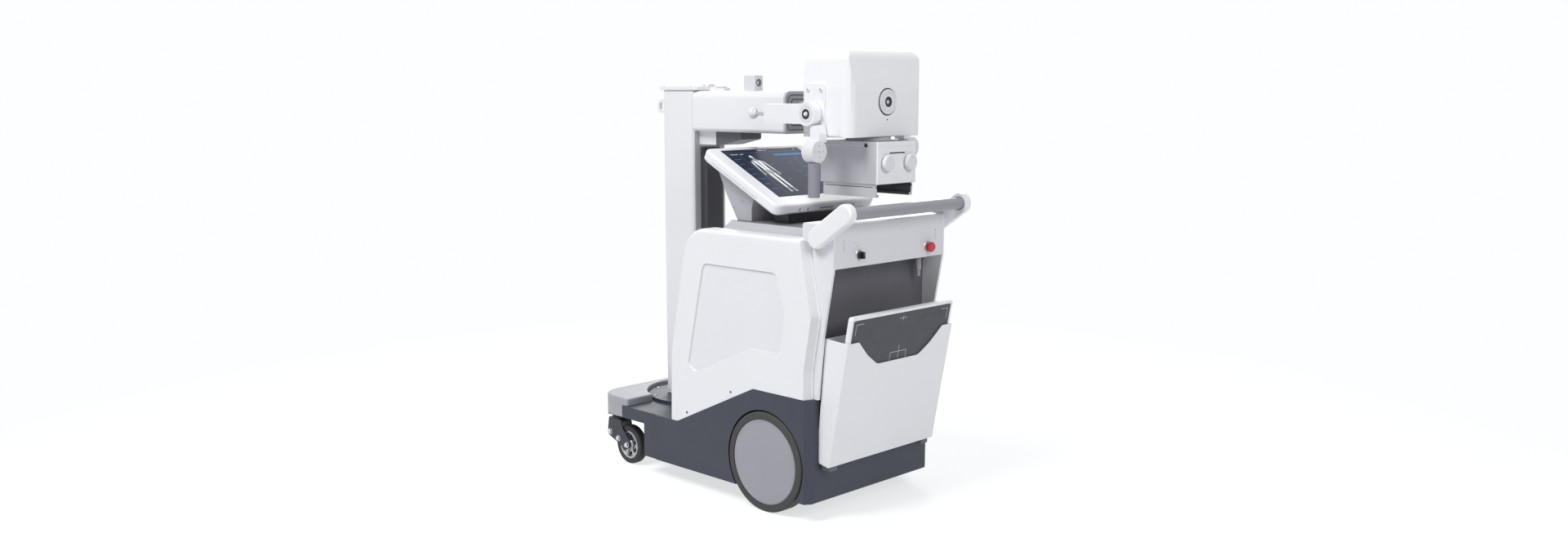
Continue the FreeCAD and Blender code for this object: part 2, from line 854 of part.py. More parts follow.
def mast_glides():
    """Slippery pads on the mast that run on the column's inner walls, in a low and a high ring."""
    inside = column_half_width - column_wall - running_gap
    face = mast_half_width
    pieces = []
    for low in (mast_bottom_z + 5, mast_bottom_z + 205):
        for way in (-1, 1):
            sides = sorted((way * face, way * inside))
            for y in (column_y - 42, column_y + 22):
                pieces.append(block(sides[0], sides[1], y, y + 20, low, low + 60))
            fronts = sorted((column_y + way * face, column_y + way * inside))
            for x in (-44, 24):
                pieces.append(block(x, x + 20, fronts[0], fronts[1], low, low + 60))
    return group(pieces)


def cap_plate():
    """The flat cap on top of the mast, which closes the column when the arm is down."""
    rear = column_y - column_half_width - cap_rear_overhang
    front = column_y + column_half_width + cap_front_overhang
    points = frame_points(-column_half_width, column_half_width, rear, front, column_corner_radius)
    top = column_top_z + cap_thickness
    body = plate(points, "z", column_top_z, top)
    return body


def cap_clip():
    """The small cable clamp behind the cap: a dark clip with an eye, and its block on the arm."""
    rear = column_y - column_half_width - cap_rear_overhang
    top = column_top_z + cap_thickness
    clip = block(-12, 12, rear + 2, rear + 50, top, top + 8)
    eye = Vector(-13, rear + 26, top + 4)
    clip = clip.cut(rod(2.5, eye, eye.add(Vector(26, 0, 0))))
    return clip


def arm_cable_block():
    """The stepped cable block on the arm housing, just behind the cap."""
    rear = column_y - column_half_width - cap_rear_overhang
    low = arm_z + arm_half_height
    front = rear - 2 * slide_gap
    grey = plate(frame_points(-14, 14, front - 32, front, 3), "z", low, low + 13)
    white = plate(frame_points(-14, 14, front - 72, front - 32, 3), "z", low, low + 9)
    return joined([grey, white])


def column_hook():
    """The half-round hook on the front face of the column."""
    face = column_y + column_half_width + seat_gap / 10
    tip = face + hook_reach
    high = column_top_z - hook_drop
    low = high - hook_height
    points = [(face, low, 0), (tip, low, hook_height * 0.4), (tip, high, hook_height / 2), (face, high, 0)]
    side = hook_side
    body = plate(points, "x", side, side + hook_width)
    near = face + hook_wall - 2
    far = tip - hook_wall
    eye_low = low + hook_wall
    eye_high = high - hook_wall - 3
    eye = [(near, eye_low, 6), (far, eye_low, 8), (far, eye_high, 8), (near, eye_high, 6)]
    return body.cut(plate(eye, "x", side - 2, side + hook_width + 2))


def lift_tube():
    """The tube of the lifting ram that stands on the column's floor plate."""
    low = Vector(0, column_y, column_bottom_z + 10)
    high = low.add(Vector(0, 0, lift_tube_length))
    return ring(lift_tube_radius, lift_rod_radius + running_gap, low, high)


def lift_rod():
    """The ram's rod, fixed under the top of the mast."""
    low = Vector(0, column_y, column_bottom_z + 20)
    high = Vector(0, column_y, column_top_z - mast_wall)
    return rod(lift_rod_radius, low, high)


def arm_front_y():
    """The front end of the arm housing, just behind the column's rear face."""
    return column_y - column_half_width - slide_gap


def arm_points(inset):
    """The cross-section of the arm, drawn in by a step."""
    half = arm_half_width - inset
    height = arm_half_height - inset
    radius = max(arm_edge_radius - inset * 0.6, 3)
    low_radius = max(radius - 10, 3)
    return [(-half, arm_z - height, low_radius), (half, arm_z - height, low_radius),
            (half, arm_z + height, radius), (-half, arm_z + height, radius)]


def arm_housing():
    """The arm's outer housing, closed at the column's end."""
    front = arm_front_y()
    rear = arm_rear_y + arm_collar_depth + seat_gap / 10
    body = plate(arm_points(0), "y", rear, front)
    return body.cut(plate(arm_points(arm_wall), "y", rear - 1, front - 12))


def arm_bracket():
    """The bracket that the arm housing is bolted to: a gusset below it and a neck on the mast."""
    play = seat_gap / 10
    front = arm_front_y() + play
    top = arm_z - arm_half_height - play
    low = arm_z - arm_half_height - gusset_depth
    gusset_points = [
        (front, top, 0),
        (front, low, 0),
        (gusset_knee_y, low, 30),
        (gusset_rear_y, top + play - gusset_rear_depth, 8),
        (gusset_rear_y, top, 0),
    ]
    gusset = plate(gusset_points, "x", -neck_half_width, neck_half_width)
    reach = column_y - mast_half_width - play
    high = arm_z + arm_half_height - 2
    neck = block(-neck_half_width, neck_half_width, front, reach, low, high)
    return joined([gusset, neck])


def arm_collar():
    """The frame round the mouth of the arm housing that the first stage slides through."""
    rear = arm_rear_y
    body = plate(arm_points(0), "y", rear, rear + arm_collar_depth)
    body = body.cut(plate(stage_points(1, slide_gap), "y", rear - 1, rear + arm_collar_depth + 1))
    edges = [edge for edge in body.Edges if abs(edge.CenterOfMass.y - rear) < 0.01]
    outer = [edge for edge in edges if not stage_edge(edge)]
    return body.makeFillet(3, outer)


def stage_edge(edge):
    """Whether an edge belongs to the inner opening of a collar."""
    box = edge.BoundBox
    inner_half = arm_half_width - stage_step + slide_gap + 0.1
    inner_height = arm_half_height - stage_step + slide_gap + 0.1
    across = max(abs(box.XMin), abs(box.XMax)) < inner_half
    return across and box.ZMax < arm_z + inner_height and box.ZMin > arm_z - inner_height


def stage_points(number, gap):
    """The cross-section of a telescopic stage, opened by a gap."""
    inset = number * stage_step - gap
    return arm_points(inset)


def arm_stage_1():
    """The first telescopic stage, a rounded tube with its own collar."""
    rear = arm_rear_y - stage_end_proud
    body = plate(stage_points(1, 0), "y", rear, rear + stage_1_length)
    hollow = plate(stage_points(1, -stage_wall), "y", rear + 10, rear + stage_1_length + 1)
    mouth = plate(stage_points(2, slide_gap), "y", rear - 1, rear + 11)
    return body.cut(hollow).cut(mouth)


def arm_stage_2():
    """The second stage, with the end plate and shaft that the yoke rolls on."""
    rear = arm_rear_y - 2 * stage_end_proud
    body = plate(stage_points(2, 0), "y", rear, rear + stage_2_length)
    hollow = plate(stage_points(2, -stage_wall), "y", rear + 12, rear + stage_2_length + 1)
    body = body.cut(hollow)
    flange_end = yoke_cross_front_y + slide_gap
    centre = Vector(0, rear, arm_z)
    shaft_end = Vector(0, yoke_cross_front_y - yoke_cross_depth, arm_z)
    flange = rod(roll_flange_radius, centre, Vector(0, flange_end, arm_z))
    return joined([body, flange, rod(roll_shaft_radius, centre, shaft_end)])


def arm_camera():
    """The little view camera box on top of the arm."""
    low = arm_z + arm_half_height
    half = camera_half_width
    rear = camera_rear_y
    points = frame_points(-half, half, rear, rear + camera_depth, 5)
    body = plate(points, "z", low, low + camera_height)
    top = [edge for edge in body.Edges if abs(edge.CenterOfMass.z - low - camera_height) < 0.01]
    body = body.makeFillet(3, top)
    lens = Vector(0, rear - 1, low + camera_height / 2 + 1)
    return body.cut(rod(camera_lens_radius, lens, lens.add(Vector(0, 9, 0))))


def camera_lens():
    """The lens set back in the camera's round mouth."""
    low = arm_z + arm_half_height
    radius = camera_lens_radius - 0.1
    profile = [(0, 0), (radius, 0), (radius, 2), (radius - 3, 4), (0, 5)]
    place = Vector(0, camera_rear_y + 8, low + camera_height / 2 + 1)
    return turned(profile, place, Vector(0, -1, 0))


def yoke():
    """The fork: a cross member on the roll shaft and two arms that end in round bosses."""
    outer = yoke_outer_half_width
    inner = outer - yoke_arm_thickness
    low = arm_z - yoke_half_height
    high = arm_z + yoke_half_height
    rear = yoke_cross_front_y - yoke_cross_depth
    cross = plate(frame_points(-outer, outer, low, high, 3), "y", rear, yoke_cross_front_y)
    pieces = [cross]
    arm = plate(frame_points(tilt_y, yoke_cross_front_y, low, high, 3), "x", inner, outer)
    boss = rod(yoke_boss_radius, Vector(inner, tilt_y, arm_z), Vector(outer, tilt_y, arm_z))
    pieces += [arm, boss, mirrored(arm), mirrored(boss)]
    body = joined(pieces)
    for side in (-1, 1):
        start = Vector(side * (inner - 1), tilt_y, arm_z)
        end = Vector(side * (outer + 1), tilt_y, arm_z)
        body = body.cut(rod(tilt_drum_radius + running_gap, start, end))
    hole = Vector(0, yoke_cross_front_y + 1, arm_z)
    body = body.cut(rod(roll_shaft_radius + running_gap, hole, Vector(0, rear - 1, arm_z)))
    lock_high = lock_knob_place().add(Vector(0, 1, 0))
    lock_low = lock_knob_place().add(Vector(0, -14, 0))
    return body.cut(rod(lock_shaft_radius + running_gap, lock_high, lock_low))


def lock_knob_place():
    """Where the lock knob's shaft goes into the front of the left yoke arm."""
    return Vector(-yoke_outer_half_width + yoke_arm_thickness / 2, yoke_cross_front_y, arm_z)


def lock_shaft():
    """The black shaft of the yoke's lock knob, with its collar."""
    face = lock_knob_place()
    start = face.add(Vector(0, -12, 0))
    end = face.add(Vector(0, lock_shaft_length, 0))
    collar_start = face.add(Vector(0, slide_gap, 0))
    collar = rod(lock_shaft_radius + 4, collar_start, collar_start.add(Vector(0, 6, 0)))
    return joined([rod(lock_shaft_radius, start, end), collar])


def lock_knob():
    """The white mushroom head of the lock knob."""
    radius = lock_knob_radius
    length = lock_knob_length
    profile = [
        (0, 0),
        (radius * 0.5, 0),
        (radius * 0.55, length * 0.25),
        (radius * 0.92, length * 0.42),
        (radius, length * 0.58),
        (radius * 0.94, length * 0.78),
        (radius * 0.7, length * 0.94),
        (0, length),
    ]
    place = lock_knob_place().add(Vector(0, lock_shaft_length, 0))
    return turned(profile, place, Vector(0, 1, 0))


def head_solid(inset):
    """The tube head's outer form: three outlines crossed, drawn in by a wall."""
    half_low = head_half_width_bottom - inset
    half_high = head_half_width_top - inset
    low = head_bottom_z + inset
    high = head_top_z - inset
    rear = head_rear_y + inset
    front = head_front_y - inset
    shoulder = head_shoulder_radius - inset
    corner = head_rear_corner_radius - inset
    front_corner = head_front_corner_radius - inset
    waist = low + (high - low) * 0.55
    across = [
        (-half_low, low, 8),
        (half_low, low, 8),
        (half_low - 3, waist, 120),
        (half_high, high, shoulder),
        (-half_high, high, shoulder),
        (-half_low + 3, waist, 120),
    ]
    along = [
        (rear, low, 4),
        (front, low, 4),
        (front, high, front_corner),
        (rear + 14, high, head_top_corner_radius - inset),
        (rear, waist, 140),
    ]
    plan = [
        (-half_low, rear, corner),
        (half_low, rear, corner),
        (half_low, front, front_corner),
        (-half_low, front, front_corner),
    ]
    body = plate(across, "y", rear, front)
    body = body.common(plate(along, "x", -half_low, half_low))
    return body.common(plate(plan, "z", low, high))


def head_housing():
    """The tube head's shell, with the side plates the trunnions bolt to and the port for the beam."""
    body = head_solid(0)
    body = body.cut(head_solid(head_wall))
    port = Vector(0, collimator_y, head_bottom_z - 1)
    body = body.cut(rod(collimator_ring_radius - 16, port, port.add(Vector(0, 0, head_wall + 2))))
    dial = Vector(0, head_rear_y - 1, head_dial_z)
    body = body.cut(rod(dial_cup_radius + 5, dial, dial.add(Vector(0, head_wall + 2, 0))))
    return body.removeSplitter()


def side_plate_place():
    """The outer face of the plates on the head's sides."""
    return head_half_width_bottom + side_plate_proud


def side_plate(side):
    """The plate on the head's side that carries the trunnion, fitted to the tapered shell."""
    low = side_plate_bottom_z
    high = side_plate_top_z
    rear = tilt_y - side_plate_half_width
    front = tilt_y + side_plate_half_width
    points = [(rear, low, 6), (front, low, 6), (front, high, 12), (rear, high, 12)]
    outer = side_plate_place()
    body = plate(points, "x", head_half_width_top, outer).cut(head_solid(-seat_gap / 10))
    edges = [edge for edge in body.Edges if abs(edge.CenterOfMass.x - outer) < 0.01]
    body = body.makeChamfer(1.5, edges)
    return body if side > 0 else mirrored(body)


def trunnion(side):
    """The drum that turns in a yoke boss, its flange and the bracket that holds the hand pad."""
    inner = side_plate_place()
    flange_end = inner + tilt_flange_thickness
    outer = yoke_outer_half_width - 0.5
    low = Vector(inner, tilt_y, arm_z)
    middle = Vector(flange_end, tilt_y, arm_z)
    end = Vector(outer, tilt_y, arm_z)
    pieces = [rod(tilt_flange_radius, low, middle), rod(tilt_drum_radius, middle, end)]
    foot_z = bracket_foot_z
    arm_points_low = [
        (grip_y - 16, foot_z, 3),
        (grip_y + 18, foot_z, 3),
        (tilt_y + 12, arm_z - tilt_flange_radius + 8, 0),
        (tilt_y - 30, arm_z - tilt_flange_radius + 14, 0),
        (grip_y - 16, foot_z + 22, 4),
    ]
    pieces.append(plate(arm_points_low, "x", inner, inner + bracket_thickness))
    swing = yoke_boss_radius + 2.5
    outer_points = [
        (grip_y - 16, foot_z, 3),
        (grip_y + 20, foot_z, 3),
        (tilt_y - 10, arm_z - swing + 4, 0),
        (tilt_y - 40, arm_z - swing + 6, 0),
        (grip_y - 16, foot_z + 26, 4),
    ]
    outer_bracket = plate(outer_points, "x", inner, yoke_outer_half_width - 6)
    clear = rod(swing, Vector(flange_end, tilt_y, arm_z), Vector(outer + 10, tilt_y, arm_z))
    inner_clear = block(inner - 1, outer + 10, tilt_y - 60, tilt_y + 60, arm_z - swing + 8, arm_z + 40)
    pieces.append(outer_bracket.cut(clear).cut(inner_clear))
    body = joined(pieces)
    pad_seat = Vector(grip_across, grip_y - pad_thickness, pad_z)
    body = body.cut(rod(pad_radius + seat_gap / 10, pad_seat, pad_seat.add(Vector(0, 2 * pad_thickness, 0))))
    cup = Vector(outer + 1, tilt_y, arm_z)
    body = body.cut(rod(dial_radius + 0.1, cup, Vector(outer - 2, tilt_y, arm_z)))
    return body if side > 0 else mirrored(body)


def dial_shape(radius, cup_radius, rise):
    """A round angle dial: a flat scale ring that falls into a dished cup."""
    depth = 6
    return [
        (0, -depth - 1.5),
        (cup_radius + 3, -depth - 1.5),
        (cup_radius + 3, -1.8),
        (radius, -1.8),
        (radius, rise - 0.6),
        (radius - 0.6, rise),
        (cup_radius, rise),
        (cup_radius - 2, -1),
        (dial_ball_radius + 0.5, -depth),
        (0, -depth),
    ]


def tilt_dial(side):
    """The dial in the outer end of a trunnion, which shows the head's tilt."""
    outer = yoke_outer_half_width - 0.5
    profile = [(0, -2), (dial_radius, -2), (dial_radius, 0.4), (dial_radius - 0.6, 1), (dial_cup_radius, 1),
               (dial_cup_radius - 2, -0.6), (dial_ball_radius + 0.5, -1), (0, -1)]
    body = turned(profile, Vector(outer, tilt_y, arm_z), Vector(1, 0, 0))
    return body if side > 0 else mirrored(body)


def dial_ball(seat, way):
    """The pointer ball that sits in a dial's cup, flattened where it rests."""
    radius = dial_ball_radius
    foot = radius * 0.9
    lift = math.sqrt(radius ** 2 - foot ** 2)
    side = Vector(radius, 0, lift)
    top = Vector(0, 0, lift + radius)
    edges = [
        Part.LineSegment(top, Vector(0, 0, 0)).toShape(),
        Part.LineSegment(Vector(0, 0, 0), Vector(foot, 0, 0)).toShape(),
        Part.Arc(Vector(foot, 0, 0), side, top).toShape(),
    ]
    body = Part.Face(Part.Wire(edges)).revolve(Vector(0, 0, 0), Vector(0, 0, 1), 360)
    body.Placement = FreeCAD.Placement(seat, FreeCAD.Rotation(Vector(0, 0, 1), way))
    return body


def head_dial():
    """The dial on the head's rear face, which shows its roll."""
    profile = dial_shape(head_dial_radius, dial_cup_radius + 2, 2)
    return turned(profile, Vector(0, head_rear_y - 2, head_dial_z), Vector(0, -1, 0))


def dial_balls():
    """The pointer balls in the cups of the three dials."""
    play = seat_gap / 10
    rear_seat = Vector(0, head_rear_y + 4 - play, head_dial_z)
    pieces = [dial_ball(rear_seat, Vector(0, -1, 0))]
    for side in (-1, 1):
        side_seat = Vector(side * (yoke_outer_half_width - 1.5 + play), tilt_y, arm_z)
        pieces.append(dial_ball(side_seat, Vector(side, 0, 0)))
    return group(pieces)


def tube_insert():
    """The x-ray tube in its oil-filled can, lying across inside the head, on its port collar."""
    middle_z = head_dial_z
    half = tube_insert_length / 2
    centre_y = (head_front_y + head_rear_y) / 2
    can = rod(tube_insert_radius, Vector(-half, centre_y, middle_z), Vector(half, centre_y, middle_z))
    low = Vector(0, collimator_y, head_bottom_z + head_wall + seat_gap / 10)
    collar = rod(collimator_ring_radius - 8, low, Vector(0, collimator_y, middle_z))
    return joined([can, collar])


def collimator_ring():
    """The turning ring between the head and the collimator."""
    low = Vector(0, collimator_y, collimator_top_z)
    high = Vector(0, collimator_y, head_bottom_z - seat_gap)
    neck = Vector(0, collimator_y, head_bottom_z + head_wall - 1)
    body = rod(collimator_ring_radius, low, high)
    body = body.fuse(rod(collimator_ring_radius - 16 - running_gap, high, neck))
    bore = Vector(0, collimator_y, collimator_top_z - 1)
    return body.cut(rod(28, bore, neck.add(Vector(0, 0, 1)))).removeSplitter()


def collimator_body():
    """The collimator box, hollow, open below for the light field."""
    half = collimator_half_width
    rear = collimator_y - collimator_half_depth
    front = collimator_y + collimator_half_depth
    low = collimator_bottom_z
    high = collimator_top_z
    wall = collimator_wall
    body = plate(frame_points(-half, half, rear, front, 5), "z", low, high)
    body = body.cut(block(-half + wall, half - wall, rear + wall, front - wall, low + wall, high - wall))
    port = collimator_window
    body = body.cut(block(-port, port, collimator_y - port, collimator_y + port, low - 1, low + wall + 1))
    top = Vector(0, collimator_y, high - wall - 1)
    body = body.cut(rod(28, top, top.add(Vector(0, 0, wall + 2))))
    slot_z = high - collimator_slot_drop
    body = body.cut(block(-34, 34, rear - 1, rear + 3, slot_z - 2, slot_z + 2))
    seam_z = high - collimator_seam_drop
    seam = plate(frame_points(-half - 1, half + 1, rear - 1, front + 1, 5), "z", seam_z, seam_z + 1.2)
    core = plate(frame_points(-half + 1, half - 1, rear + 1, front - 1, 5), "z", seam_z - 1, seam_z + 2)
    body = body.cut(seam.cut(core))
    button = Vector(-half - 1, lamp_button_y, lamp_button_z)
    body = body.cut(rod(lamp_button_radius + running_gap, button, button.add(Vector(wall + 2, 0, 0))))
    for across in (-collimator_knob_across, collimator_knob_across):
        hole = Vector(across, rear - 1, collimator_knob_z)
        body = body.cut(rod(5 + running_gap, hole, hole.add(Vector(0, wall + 2, 0))))
    return body.removeSplitter()


def collimator_knob(side):
    """One of the two knobs that set the field, with its stub spindle."""
    rear = collimator_y - collimator_half_depth
    neck = collimator_knob_neck
    thick = collimator_knob_thickness
    radius = collimator_knob_radius
    profile = [
        (0, -9),
        (5, -9),
        (5, slide_gap),
        (radius * 0.62, slide_gap),
        (radius * 0.62, neck),
        (radius, neck + 1.5),
        (radius, neck + thick - 2.5),
        (radius - 2.5, neck + thick),
        (0, neck + thick),
    ]
    return turned(profile, Vector(side * collimator_knob_across, rear, collimator_knob_z), Vector(0, -1, 0))


def lamp_button():
    """The black push button for the light field."""
    face = Vector(-collimator_half_width, lamp_button_y, lamp_button_z)
    flange = lamp_button_radius + 1.5
    rise = lamp_button_travel + 0.8
    back = -collimator_wall - seat_gap
    radius = lamp_button_radius
    profile = [
        (0, -9),
        (flange, -9),
        (flange, back),
        (radius, back),
        (radius, rise - 1),
        (radius - 1, rise),
        (0, rise),
    ]
    return turned(profile, face, Vector(-1, 0, 0))


def collimator_blades():
    """The two pairs of lead shutters above the window."""
    port = collimator_window
    low = collimator_bottom_z + collimator_wall + 4
    thick = blade_thickness
    opening = 30
    y = collimator_y
    pieces = []
    for way in (-1, 1):
        across = sorted((way * opening, way * (collimator_half_width - collimator_wall)))
        pieces.append(block(across[0], across[1], y - port, y + port, low, low + thick))
        along = sorted((y + way * opening, y + way * (collimator_half_depth - collimator_wall)))
        pieces.append(block(-port, port, along[0], along[1], low + 12, low + 12 + thick))
    return group(pieces)


def light_window():
    """The clear window under the collimator."""
    half = collimator_window - seat_gap / 10
    low = collimator_bottom_z
    y = collimator_y
    return block(-half, half, y - half, y + half, low, low + window_thickness)


def accessory_rails():
    """The frame under the collimator: two grooved rails joined at the front, open at the rear."""
    half = rail_half_width
    low = rail_bottom_z
    high = collimator_bottom_z - seat_gap / 10
    rear = rail_rear_y
    front = rail_front_y
    wall = rail_wall
    body = plate(frame_points(-half, half, rear, front, 4), "z", low, high)
    body = body.cut(block(-half + wall, half - wall, rear - 1, front - wall, low + wall, high + 1))
    lip = 2 * wall
    body = body.cut(block(-half + lip, half - lip, rear - 1, front - lip, low - 1, high + 1))
    groove_z = high - 12
    for side in (-1, 1):
        faces = sorted((side * (half - wall - 1), side * (half - wall + rail_groove)))
        body = body.cut(block(faces[0], faces[1], rear - 1, front - wall, groove_z, groove_z + 6))
        outside = sorted((side * (half + 1), side * (half - 2)))
        body = body.cut(block(outside[0], outside[1], rear + 10, front - 10, groove_z + 2, groove_z + 4))
    return body.removeSplitter()


def hand_pad(side):
    """The round pad with the arrow keys, hung under a trunnion bracket."""
    rear = grip_y - pad_thickness / 2
    front = grip_y + pad_thickness / 2
    start = Vector(grip_across, rear, pad_z)
    body = rod(pad_radius, start, Vector(grip_across, front, pad_z))
    edges = [edge for edge in body.Edges if edge.BoundBox.YLength < 0.01 and edge.Closed]
    body = body.makeFillet(2.5, edges)
    socket = Vector(grip_across, grip_y, pad_z - pad_radius - 1)
    body = body.cut(rod(grip_radius - 3, socket, socket.add(Vector(0, 0, 18))))
    return body if side > 0 else mirrored(body)


def hand_grip(side):
    """The grey bar below a pad, plugged into it."""
    low = Vector(grip_across, grip_y, grip_bottom_z)
    shoulder_z = pad_z - pad_radius - seat_gap / 10
    body = rod(grip_radius, low, Vector(grip_across, grip_y, shoulder_z))
    edges = [edge for edge in body.Edges if abs(edge.CenterOfMass.z - grip_bottom_z) < 0.01]
    body = body.makeFillet(2, edges)
    plug = rod(grip_radius - 3 - seat_gap / 10, Vector(grip_across, grip_y, shoulder_z - 1),
               Vector(grip_across, grip_y, pad_z - pad_radius + 15))
    body = body.fuse(plug)
    return body if side > 0 else mirrored(body)


def panel_points(inset, corner):
    """The side panel's outline, drawn in by a wall, with its rear line moved back by the corner."""
    low = chassis_front_top_z + seat_gap + inset
    low_rear = chassis_rear_top_z + seat_gap + inset
    lean = inset * 0.4
    foot_y = panel_front_y - inset
    knee_y = foot_y - 4
    edge = max(panel_front_top_radius - inset, 2)
    return [
        (foot_y, low, 0),
        (knee_y, panel_knee_z, 180),
        (panel_front_top_y - inset, panel_top_z - inset, edge),
        (panel_rear_top_y - corner + inset, panel_top_z - inset, 18),
        (panel_rear_waist_y - corner + inset, panel_rear_waist_z, 50),
        (panel_rear_low_y - corner + inset, panel_rear_low_z, 50),
        (panel_rear_low_y - corner + inset, low_rear, 0),
        (chassis_slope_rear_y - lean, low_rear, 20),
        (chassis_slope_front_y - lean, low, 20),
    ]


def window_points(spread):
    """The outline of the sunken field in the side panel, opened by a spread."""
    front = window_front_y + spread
    rear = window_rear_y - spread
    top = window_top_z + spread
    return [
        (front, top, 24),
        (front + 74, window_low_z + 14 - spread / 2, 22),
        (front + 42, window_low_z - spread, 22),
        (window_front_y - window_waist_step, window_waist_z - spread, 40),
        (rear - 13, window_waist_z + 2 - spread, 24),
        (rear - 36, window_waist_z + 117, 50),
        (rear, top, 24),
    ]


def panel_rear_cutter():
    """The wedge that takes off the rear corner of a side panel."""
    far = panel_rear_waist_y - 100
    low = chassis_rear_top_z + seat_gap
    outlines = []
    for corner in (panel_corner_along, -panel_corner_along * 0.25):
        outlines.append([
            (panel_rear_top_y - corner, panel_top_z + 20, 0),
            (panel_rear_top_y - corner, panel_top_z, 0),
            (panel_rear_waist_y - corner, panel_rear_waist_z, 50),
            (panel_rear_low_y - corner, panel_rear_low_z, 50),
            (panel_rear_low_y - corner, low - 20, 0),
            (far, low - 20, 0),
            (far, panel_top_z + 20, 0),
        ])
    step = chassis_half_width - panel_corner_across
    end = chassis_half_width + panel_corner_across * 0.25
    return loft(outlines[0], outlines[1], "x", step, end)


def side_panel(side):
    """A white side panel with rounded edges, a cut rear corner and the sunken field."""
    outer = chassis_half_width
    sharp = panel_points(0, panel_corner_along)
    sharp[3] = (sharp[3][0], sharp[3][1], 0)
    body = plate(sharp, "x", panel_inner, outer)
    rim = []
    for edge in body.Edges:
        box = edge.BoundBox
        on_face = box.XMin > outer - 0.01
        top = box.ZMax > panel_top_z - 0.01 and box.YMax > panel_rear_top_y + 20
        front = box.YMax > panel_front_y - 8 and box.ZLength > 50
        if on_face and (top or front):
            rim.append(edge)
    body = body.makeFillet(panel_edge_radius, rim)
    body = body.common(plate(panel_points(0, panel_corner_along), "x", panel_inner, outer))
    body = body.cut(panel_rear_cutter())
    console_side = console_half_width + seat_gap
    console_place = recess_wall_y + recess_thickness + seat_gap
    rear_limit = panel_rear_waist_y - 50
    body = body.cut(block(panel_inner - 1, console_side, rear_limit, console_place, 0, panel_top_z + 1))
    hollow = plate(panel_points(panel_face, 0), "x", panel_inner - 1, outer - panel_skin)
    body = body.cut(hollow)
    slant = window_depth * 0.8
    sunken = loft(window_points(0), window_points(slant), "x", outer - window_depth, outer + 1)
    body = body.cut(sunken)
    return body if side > 0 else mirrored(body)


def front_cover():
    """The white cover between the side panels: the front face and the shoulder behind it."""
    half = panel_inner - seat_gap
    inset = cover_inset
    wall = cover_wall
    outer = cover_points(inset)
    inner = cover_points(inset + wall)
    body = plate(outer, "x", -half, half)
    return body.cut(plate(inner, "x", -half - 1, half + 1))


def cover_points(inset):
    """The outline of the cover between the panels, drawn in from the panels' outline."""
    low = chassis_front_top_z + 2 * seat_gap
    tail = console_front_y + seat_gap
    hole = inset > cover_inset
    floor = low - 1 if hole else low
    rear = tail - 1 if hole else tail
    bottom = panel_top_z - cover_inset - cover_wall if not hole else floor
    points = [
        (panel_front_y - inset, floor, 0),
        (panel_front_y - inset - 4, panel_knee_z, 180),
        (panel_front_top_y - inset, panel_top_z - inset, panel_front_top_radius - inset),
        (rear, panel_top_z - inset, 0),
    ]
    if hole:
        return points + [(rear, floor, 0)]
    under = [(rear, bottom, 0), (chassis_slope_rear_y, bottom - 1, 0), (chassis_slope_front_y, low, 0)]
    return points + under


def top_deck():
    """The grey deck under the monitor, with sloped edges."""
    half = deck_half_width
    low = panel_top_z - cover_inset + seat_gap
    high = low + deck_thickness
    rear = console_front_y + seat_gap
    bevel = deck_bevel
    low_points = frame_points(-half, half, rear, deck_front_y, 6)
    high_points = frame_points(-half + bevel, half - bevel, rear, deck_front_y - bevel, 6)
    return loft(low_points, high_points, "z", low, high)


def console_housing():
    """The console hood with the two cheeks that run down beside the recess."""
    outer = console_half_width
    wall = console_wall
    rear = console_rear_y + fascia_thickness
    front = console_front_y
    low = console_bottom_z
    high = console_top_z
    shelf = panel_top_z + seat_gap
    back = recess_wall_y + recess_thickness
    hood_points = [
        (rear, low, 0),
        (rear, high, 8),
        (front, high, 8),
        (front, shelf, 0),
        (back + seat_gap, shelf, 0),
        (back + seat_gap, low, 0),
    ]
    hood = plate(hood_points, "x", -outer, outer)
    hollow = block(-outer + wall, outer - wall, rear - 1, front - wall, low + wall, high - wall)
    under = block(-outer - 1, outer + 1, back, front + 1, low - 1, panel_top_z + 8 + wall)
    hood = hood.cut(hollow.cut(under))
    cheek_points = [
        (recess_wall_y, chassis_rear_top_z + seat_gap, 0),
        (bin_front_y(chassis_rear_top_z) + seat_gap, chassis_rear_top_z + seat_gap, 0),
        (cheek_low_y, cheek_low_z, 10),
        (console_rear_y, console_bottom_z, 0),
        (console_rear_y, console_top_z, 4),
        (recess_wall_y, console_top_z, 0),
    ]
    cheek = plate(cheek_points, "x", outer - wall, outer)
    return joined([hood, cheek, mirrored(cheek)])


def bin_front_y(height):
    """How far back the bin's inner wall is at a height."""
    return on_line((bin_front_bottom_y, bin_front_bottom_z), (bin_front_top_y, bin_front_top_z), height)


def bin_face_y(height):
    """How far back the bin's outer face is at a height."""
    return on_line((bin_face_bottom_y, bin_face_bottom_z), (bin_face_top_y, bin_face_top_z), height)


def recess_panel():
    """The dark wall at the back of the recess under the console."""
    half = console_half_width - console_wall - seat_gap / 10
    low = chassis_rear_top_z + seat_gap
    high = console_bottom_z - seat_gap / 10
    return block(-half, half, recess_wall_y, recess_wall_y + recess_thickness, low, high)


def control_panel():
    """The flat fascia of the console, with holes for the key switch and the stop button."""
    half = console_half_width - console_wall - seat_gap
    low = console_bottom_z + 0.5
    high = console_top_z - 2
    rear = console_rear_y
    body = block(-half, half, rear, rear + fascia_thickness - seat_gap / 10, low, high)
    for across, height, radius in ((key_across, key_z, key_radius), (stop_across, stop_z, stop_radius)):
        hole = Vector(across, rear - 1, height)
        hole_end = Vector(across, rear + fascia_thickness + 1, height)
        body = body.cut(rod(radius * 0.7 + seat_gap / 10, hole, hole_end))
    return body


